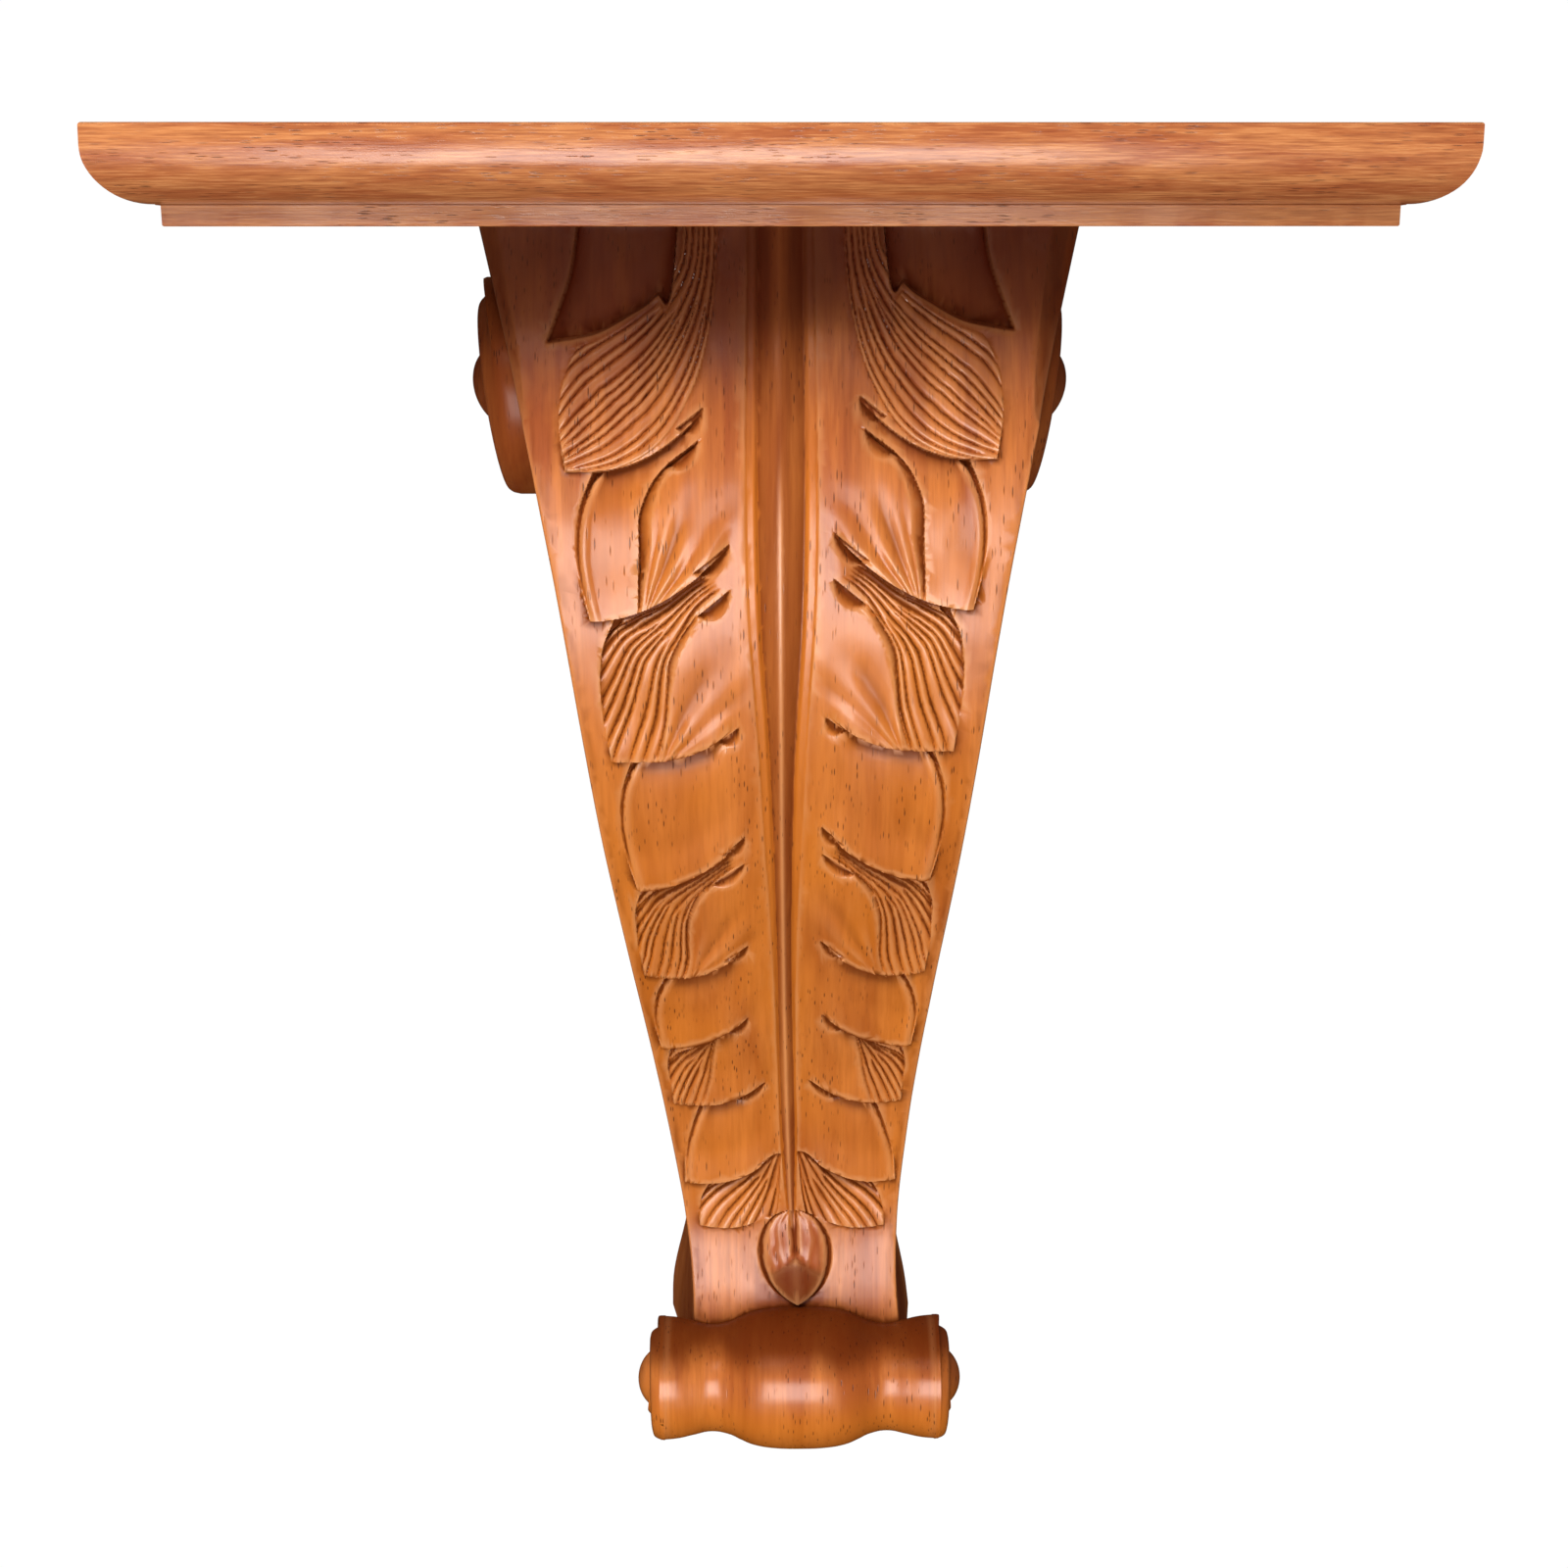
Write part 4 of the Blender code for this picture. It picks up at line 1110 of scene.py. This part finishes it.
    def roll(self, scroll: ScrollTree, material: Material) -> list[Thing]:
        """The turned roll across the foot, with a spiral and a boss cut in each end."""
        place = Matrix.Translation((self.middle(self.roll_drop), -self.roll_depth,
                                    self.hanger_drop - self.roll_drop))
        sizes = {"Length": self.roll_length - self.end_inset, "Radius": self.barrel_radius,
                 "Stations": self.roll_counts[0], "Sides": self.roll_counts[1]}
        turned = LatheTree(self.roll_outline).mesh("roll", sizes, material)
        turned.transform(place)
        made = [show("roll", turned, material)]
        for side in Side:
            sign = side.value
            mesh = scroll.mesh("roll_end", self.end_sizes, material)
            outward = (0, 0, sign, sign * self.roll_length / 2)
            end = Matrix((outward, (-1, 0, 0, 0), (0, 1, 0, 0), (0, 0, 0, 1)))
            mesh.transform(place @ end)
            if sign < 0:
                mesh.flip_normals()
            made.append(show(side.name.lower() + "_roll_end", mesh, material))
        return made

    def spots(self, mesh: Mesh) -> Spots:
        """Find out where each vertex lies on the pattern, and whether it is on the face or the roll."""
        place = np.empty(len(mesh.vertices) * 3, np.float32)
        mesh.vertices.foreach_get("co", place)
        place = place.reshape(-1, 3).astype(float)
        down = self.hanger_drop - place[:, 2]
        shown = np.clip(down, 0.0, self.roll_drop)
        across = (place[:, 0] - self.middle(shown)) / (MM * self.out_scale)
        depth = self.reach(shown) + place[:, 1]
        radius = np.hypot(place[:, 1] + self.roll_depth, down - self.roll_drop)
        along = (place[:, 0] - self.middle(self.roll_drop)) / (self.roll_length - self.end_inset) + 0.5
        surface, lowest, highest = 0.0006, -0.006, 0.007
        on_roll = radius < self.barrel_radius * through(self.roll_outline, along) + surface
        on_face = (depth < highest) & (depth > lowest) & ~on_roll
        return Spots(place, down / MM, shown, across, down / (MM * self.down_scale), on_roll, on_face)

    def sampled(self, spots: Spots) -> tuple[Array, Array, Array]:
        """Relief, hollowness and proudness at each vertex, from a fine map of the pattern."""
        step, edge = 0.45, 108.0
        wides, drops = np.arange(-edge, edge + 0.1, step), np.arange(0.0, self.pattern_drop + 0.1, step)
        relief = self.carving.height(*np.meshgrid(wides, drops))
        near, far, broad = (blurred(relief, reach) for reach in (2, 7, 24))
        # Painted shade in the carving's hollows, from how far each place lies below its blurred
        # neighbourhood
        hollow_shade = 0.5 * (far - relief) + 0.65 * (near - relief) / 0.35 + 0.45 * (broad - relief) / 1.5
        hollow_shade = clamp(hollow_shade)
        arris = clamp((relief - near) / 0.28)
        kept = spots.shown / (MM * self.down_scale)
        row = np.clip(np.rint(kept / step).astype(int), 0, len(drops) - 1)
        column = np.clip(np.rint((spots.across + edge) / step).astype(int), 0, len(wides) - 1)
        return relief[row, column], hollow_shade[row, column], arris[row, column]

    def golden_and_bounce_light(self, spots: Spots, on_rib: Array, on_ridge: Array) -> Array:
        """Golden tone on the face's middle and the rib's channels, and painted bounce light that turns the
        roll golden towards its underside.
        """
        across, drop = spots.across, spots.drop
        drift = mottle(across / 22.0, drop / 40.0, 12)
        start, end = 60.0, 385.0
        begun, over = ease((drop - start + 30.0 * drift) / 90.0), ease((drop - end - 6.0 * drift) / 14.0)
        golden_and_bounce_light = (0.8 + 0.4 * mottle(across / 15.0, drop / 28.0, 19)) * begun * (1.0 - over)
        rib = np.where(on_ridge, 0.25, 1.3) * ease((spots.pattern - 50.0) / 60.0)
        golden_and_bounce_light = np.where(on_rib, rib, golden_and_bounce_light)
        # Painted bounce light: on the roll the golden tone grows from its top to its underside
        over_axis = spots.place[:, 2] - self.hanger_drop + self.roll_drop
        return np.where(spots.on_roll, 0.2 + 0.8 * ease((0.008 - over_axis) / 0.02), golden_and_bounce_light)

    def painted_shade(self, spots: Spots) -> Array:
        """Painted shade on the roll's top under the foot, in a band just inside the face's edges, on the
        bud's downturned tip and on the side faces.
        """
        across = spots.across
        drift = mottle(across / 22.0, spots.drop / 40.0, 12)
        over_axis = spots.place[:, 2] - self.hanger_drop + self.roll_drop
        painted_shade = spots.on_roll * ease((over_axis - 0.009 - 0.002 * mottle(across / 8.0, drift, 6)) / 0.012)
        painted_shade = painted_shade + 0.35 * spots.on_face * bell((self.from_edge(spots) - 2.2) / 0.9)
        bud_out, bud_drop = self.carving.bud_middle
        tip = ease((spots.pattern - bud_drop - 1.0 - 0.7 * np.abs(across - bud_out)) / 2.0 + 0.5)
        on_bud = np.hypot((across - bud_out) / 13.0, (spots.drop - bud_drop) / 23.0) < 1.0
        beside = ~(spots.on_face | spots.on_roll) * (spots.place[:, 1] < -0.002)
        return painted_shade + (spots.on_face & on_bud) * tip + 0.75 * beside

    def from_edge(self, spots: Spots) -> Array:
        """Pattern millimetres in from the face's edge."""
        return self.half_width(spots.shown) / (MM * self.out_scale) - np.abs(spots.across)

    def edge_line(self, spots: Spots) -> Array:
        """Rubbed lines along the face's edge and the inner edge of the chamfer."""
        corner = self.chamfer_width(spots.across, spots.shown) / MM
        inner = 0.7 * (corner > 1.0) * bell((self.from_edge(spots) - corner) / 0.45)
        return spots.on_face * (bell((self.from_edge(spots) - 0.5) / 0.5) + inner)

    def tone(self, mesh: Mesh) -> None:
        """Note on each vertex its painted shade, its paler edges, its golden tone and painted bounce light,
        and the painted shadow of the board.
        """
        spots = self.spots(mesh)
        relief, hollow_shade, arris = self.sampled(spots)
        across, drop, pattern, on_face = spots.across, spots.drop, spots.pattern, spots.on_face
        from_crest = np.abs(across)
        rib_foot = 395.0
        on_rib = on_face & (from_crest < through(self.carving.rib_outline, pattern)) & (pattern < rib_foot)
        on_ridge = on_rib & (from_crest < through(self.carving.rib_groove, pattern))
        # Painted highlight along the rib's crest
        crest = on_ridge * bell((across + 0.4) / 0.75) * ease((pattern - 70.0) / 40.0)
        # Painted shadow of the board: dark at the corbel's top and fading over about 78 mm, deepest in the
        # carving's hollows, lighter on proud parts and off the face
        shade_reach, shade_stray = 78.0, 8.0
        stray = shade_stray * mottle(across / 14.0, drop / 20.0, 8)
        shade = 1.0 - ease((drop - shade_stray - stray) / shade_reach)
        shade = shade * np.where(on_face, np.clip(1.0 - 0.25 * relief, 0.65, 1.0), 0.7)
        from_middle = np.abs(spots.place[:, 0] - self.middle(self.roll_drop))
        rim = spots.on_roll * bell((from_middle - self.roll_length / 2 + self.end_inset) / 0.0008)
        edge_line = self.edge_line(spots)
        # Painted shade, with the rib's flanks made darker as well
        painted_shade = self.painted_shade(spots) + 0.5 * on_ridge * (1.0 - crest)
        hollow_shade = hollow_shade * on_face * np.where(on_rib, 0.3, 1.0) * (1.0 - 0.8 * edge_line)
        note_values(mesh, {"hollow_shade": clamp(hollow_shade + painted_shade),
                           "arris": clamp(arris * on_face * ~on_rib + 0.45 * rim + crest + 0.6 * edge_line),
                           "shade_under_shelf": shade, "golden_and_bounce_light": self.golden_and_bounce_light(spots, on_rib, on_ridge)})

    def build(self, material: Material) -> Thing:
        """Make the whole corbel as one piece of wood."""
        scroll = ScrollTree()
        block = self.block(material)
        tools = self.volutes(scroll, material) + self.roll(scroll, material)
        for tool in tools:
            union = block.modifiers.new("join_" + tool.name, 'BOOLEAN')
            union.operation, union.object, union.solver = 'UNION', tool, 'MANIFOLD'
        mesh = settled(block)
        for tool in tools:
            bpy.data.objects.remove(tool, do_unlink=True)
        self.tone(mesh)
        mesh.shade_smooth()
        mesh.set_sharp_from_angle(angle=math.radians(38))
        return show("carved_corbel", mesh, material)


@dataclass
class ShelfBoard:
    """The board, with a quarter round worked on three sides over a thin square fillet."""

    width: float = 0.430
    depth: float = 0.205
    underside: float = 0.100
    edge: float = 0.007
    ovolo_radius: float = 0.018
    quirk: float = 0.0015
    fillet_height: float = 0.0065
    arris: float = 0.0009
    fillet_arris: float = 0.0004
    wear: float = 0.00025
    rub: float = 0.0006

    def profile(self) -> list[Point]:
        """The moulding as (distance in from the edge, height over the underside), from the bottom."""
        inset = self.ovolo_radius + self.quirk
        line = [(inset + self.fillet_arris, 0.0), (inset, self.fillet_arris),
                (inset, self.fillet_height - 0.0001),
                (self.ovolo_radius + 0.0002, self.fillet_height + 0.0001)]
        for step in range(17):
            angle = 0.5 * math.pi * step / 16
            line.append((self.ovolo_radius * (1.0 - math.sin(angle)),
                         self.fillet_height + 0.0003 + self.ovolo_radius * (1.0 - math.cos(angle))))
        top = self.fillet_height + self.ovolo_radius + self.edge
        for step in range(5):
            angle = 0.5 * math.pi * step / 4
            line.append((self.arris * (1.0 - math.cos(angle)), top - self.arris * (1.0 - math.sin(angle))))
        return line

    def build(self, material: Material) -> Thing:
        """Lay the moulding round the two ends and the front, and close the top, underside and back."""
        half = self.width / 2
        along_end, along_front = np.linspace(0.0, 1.0, 90), np.linspace(0.0, 1.0, 190)
        points, loops, rubbed_and_highlight, quirk_shade = [], [], [], []
        top = self.profile()[-1][1]
        for inset, height in self.profile():
            low, front = half - inset, self.depth - inset
            loop = [(-low, -front * t) for t in along_end[:-1]]
            loop += [(-low + 2 * low * t, -front) for t in along_front[:-1]]
            loop += [(low, -front * (1.0 - t)) for t in along_end]
            x, y = np.array(loop).T
            run = np.arange(len(loop)) * 2.3
            worn = self.wear * (0.5 + 0.5 * mottle(run / 16.0, np.full_like(run, height / MM / 4.0), 21))
            worn = worn * ease(-y / 0.01)
            dashes = ease(0.5 + 1.6 * mottle(run / 6.0, np.full_like(run, height / MM / 2.0), 33))
            edges = bell((height - top) / self.rub) + 0.7 * bell(height / self.rub)
            # Painted reflection along the fillet's top edge
            fillet_edge_glint = abs(height - self.fillet_height + 0.0001) < 0.00005
            rubbed_and_highlight += list(np.maximum(dashes * edges, 0.5 * fillet_edge_glint))
            # Painted shade in the quirk above the fillet
            in_quirk = self.fillet_height < height < self.fillet_height + self.rub
            quirk_shade += [0.8 if in_quirk else 0.0] * len(x)
            loops.append(list(range(len(points), len(points) + len(loop))))
            points += zip(x * (1.0 - worn / half), y * (1.0 - worn / self.depth),
                          np.full_like(x, self.underside + height))
        faces = [list(reversed(loops[-1])), loops[0]]
        for low_loop, high_loop in zip(loops, loops[1:]):
            shifted = zip(low_loop, low_loop[1:] + low_loop[:1], high_loop[1:] + high_loop[:1], high_loop)
            faces += [list(quad) for quad in shifted]
        mesh = bpy.data.meshes.new("moulded_board")
        mesh.from_pydata([tuple(map(float, p)) for p in points], [], faces)
        bm = bmesh.new()
        bm.from_mesh(mesh)
        bmesh.ops.triangulate(bm, faces=[face for face in bm.faces if len(face.verts) > 4])
        bmesh.ops.recalc_face_normals(bm, faces=bm.faces)
        bm.to_mesh(mesh)
        bm.free()
        note_values(mesh, {"arris": rubbed_and_highlight, "hollow_shade": quirk_shade})
        mesh.shade_smooth()
        mesh.set_sharp_from_angle(angle=math.radians(32))
        return show("moulded_board", mesh, material)


def note_values(mesh: Mesh, values: dict) -> None:
    """Note named values on the mesh, one for each vertex."""
    for name, value in values.items():
        layer = mesh.attributes.new(name, 'FLOAT', 'POINT')
        layer.data.foreach_set("value", np.array(value, np.float32))


def blurred(values: Array, reach: int) -> Array:
    """Average over a square neighbourhood, twice."""
    for _ in range(2):
        for axis in (0, 1):
            padded = np.pad(values, [(reach, reach) if a == axis else (0, 0) for a in (0, 1)], mode="edge")
            total = np.cumsum(padded, axis=axis)
            total = np.concatenate([np.zeros_like(np.take(total, [0], axis=axis)), total], axis=axis)
            size = values.shape[axis]
            high = np.take(total, np.arange(2 * reach + 1, 2 * reach + 1 + size), axis=axis)
            low = np.take(total, np.arange(size), axis=axis)
            values = (high - low) / (2 * reach + 1)
    return values


@dataclass(frozen=True)
class SoftLight:
    """A soft light panel of the studio."""

    name: str
    place: tuple[float, float, float]
    aim: tuple[float, float, float]
    size: tuple[float, float]
    radiance: float
    lights_wood: bool
    shows_in_varnish: bool

    def build(self) -> Thing:
        """Make the panel; its power follows from its size."""
        data = bpy.data.lights.new(self.name, 'AREA')
        data.shape, data.size, data.size_y = 'RECTANGLE', *self.size
        data.energy = self.radiance * math.pi * self.size[0] * self.size[1]
        obj = bpy.data.objects.new(self.name, data)
        obj.location = self.place
        obj.rotation_euler = (Vector(self.aim) - Vector(self.place)).to_track_quat('-Z', 'Y').to_euler()
        obj.visible_camera = False
        obj.visible_diffuse, obj.visible_glossy = self.lights_wood, self.shows_in_varnish
        bpy.context.scene.collection.objects.link(obj)
        return obj


@dataclass(frozen=True)
class Studio:
    """White surroundings, soft light panels and the camera."""

    eye: tuple[float, float, float] = (-0.009, -1.000, 0.116)
    pitch_down: float = 13.6
    turn_right: float = 0.668
    lens: float = 57.87
    picture: float = 36.0
    surroundings: float = 0.22
    paper_glow: float = 1.0
    floor_drop: float = -1.3
    wall_behind: float = 2.4
    lights: tuple[SoftLight, ...] = (
        SoftLight("low_panel_rim", (-0.07, -1.25, -0.29), (0.0, -0.12, -0.08),
                  (0.76, 0.78), 2.4, False, True),
        SoftLight("low_panel_middle", (-0.07, -1.25, -0.28), (0.0, -0.12, -0.08),
                  (0.54, 0.52), 4.4, False, True),
        SoftLight("low_fill", (-0.10, -1.40, -0.70), (0.0, -0.10, -0.10), (1.2, 0.9), 5.4, True, False),
        SoftLight("high_key", (-0.45, -1.30, 1.15), (0.0, -0.05, -0.05), (0.8, 0.6), 18.0, True, False),
        SoftLight("high_sheen", (-0.10, -1.5, 1.2), (0.0, 0.0, 0.0), (1.6, 1.2), 0.35, False, True))

    def build(self) -> None:
        """Set up the world, the stage, the lights and the camera."""
        scene = bpy.context.scene
        world = bpy.data.worlds.new("white_room")
        world.use_nodes = True
        world.node_tree.nodes["Background"].inputs[0].default_value = (1.0, 1.0, 1.0, 1.0)
        world.node_tree.nodes["Background"].inputs[1].default_value = self.surroundings
        scene.world = world
        # The varnish mirrors the light panels only
        world.cycles_visibility.glossy = False
        scene.view_settings.view_transform = 'Standard'
        # Matt white paper, lit from behind so that it stays evenly pale
        white = bpy.data.materials.new("backlit_white_paper")
        white.use_nodes = True
        paper = white.node_tree.nodes["Principled BSDF"]
        paper.inputs["Base Color"].default_value = srgb("#202020")
        paper.inputs["Roughness"].default_value = 1.0
        paper.inputs["Emission Color"].default_value = (1.0, 1.0, 1.0, 1.0)
        paper.inputs["Emission Strength"].default_value = self.paper_glow
        self.sheet("floor", 6.0, white)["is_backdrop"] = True
        for light in self.lights:
            light.build()
        data = bpy.data.cameras.new("camera")
        data.lens, data.sensor_width, data.sensor_height = self.lens, self.picture, self.picture
        data.clip_end = 50.0
        camera = bpy.data.objects.new("camera", data)
        camera.location = self.eye
        camera.rotation_euler = (math.radians(90.0 - self.pitch_down), 0.0, -math.radians(self.turn_right))
        scene.collection.objects.link(camera)
        scene.camera = camera

    def sheet(self, name: str, half: float, material: Material) -> Thing:
        """A floor that curves up into a backdrop."""
        rows = [(0.8, self.floor_drop)]
        radius = 1.0
        for step in range(13):
            angle = 0.5 * math.pi * step / 12
            rows.append((self.wall_behind - radius + radius * math.sin(angle),
                         self.floor_drop + radius - radius * math.cos(angle)))
        rows.append((self.wall_behind, half))
        points = [(side * half, y, z) for y, z in rows for side in (-1, 1)]
        faces = [(2 * i, 2 * i + 1, 2 * i + 3, 2 * i + 2) for i in range(len(rows) - 1)]
        mesh = bpy.data.meshes.new(name)
        mesh.from_pydata(points, [], faces)
        mesh.shade_smooth()
        made = show(name, mesh, material)
        made.visible_glossy = False
        return made


def plain_sizes(box: object) -> object:
    """Turn a box into plain lists."""
    if isinstance(box, dict):
        return {str(key): plain_sizes(value) for key, value in box.items()}
    if isinstance(box, (list, tuple, Vector, np.ndarray)):
        return [plain_sizes(value) for value in box]
    return float(box) if isinstance(box, (int, float)) else str(box)


def main() -> None:
    """Build the bracket and its studio."""
    logging.basicConfig(level=logging.INFO)
    carved = VarnishedMahogany("varnished_mahogany_upright_grain", Grain.UPRIGHT).make()
    moulded = VarnishedMahogany(
        "varnished_mahogany_long_grain", Grain.ALONG_SHELF, pale="#C57C48", middle="#AC5F34", deep="#7E3A20",
        figure_mm=5.0, streak_mm=0.6, pore_mm=0.6, pore_chance=0.25, streak_strength=0.85, light_streaks=0.4,
        varnish_roughness=0.13).make()
    corbel = Corbel().build(carved)
    board = ShelfBoard().build(moulded)
    for obj, node, slot in ((corbel, "corbel", "carved_wood"), (board, "shelf_board", "moulded_board")):
        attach(obj, BODY)
        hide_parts(node)
        LOG.info("%s: %d triangles", obj.name, sum(len(face.vertices) - 2 for face in obj.data.polygons))
    Studio().build()
    sizes = {"cad": plain_sizes(CAD_BOX), "visual": plain_sizes(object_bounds())}


if __name__ == "__main__":
    main()
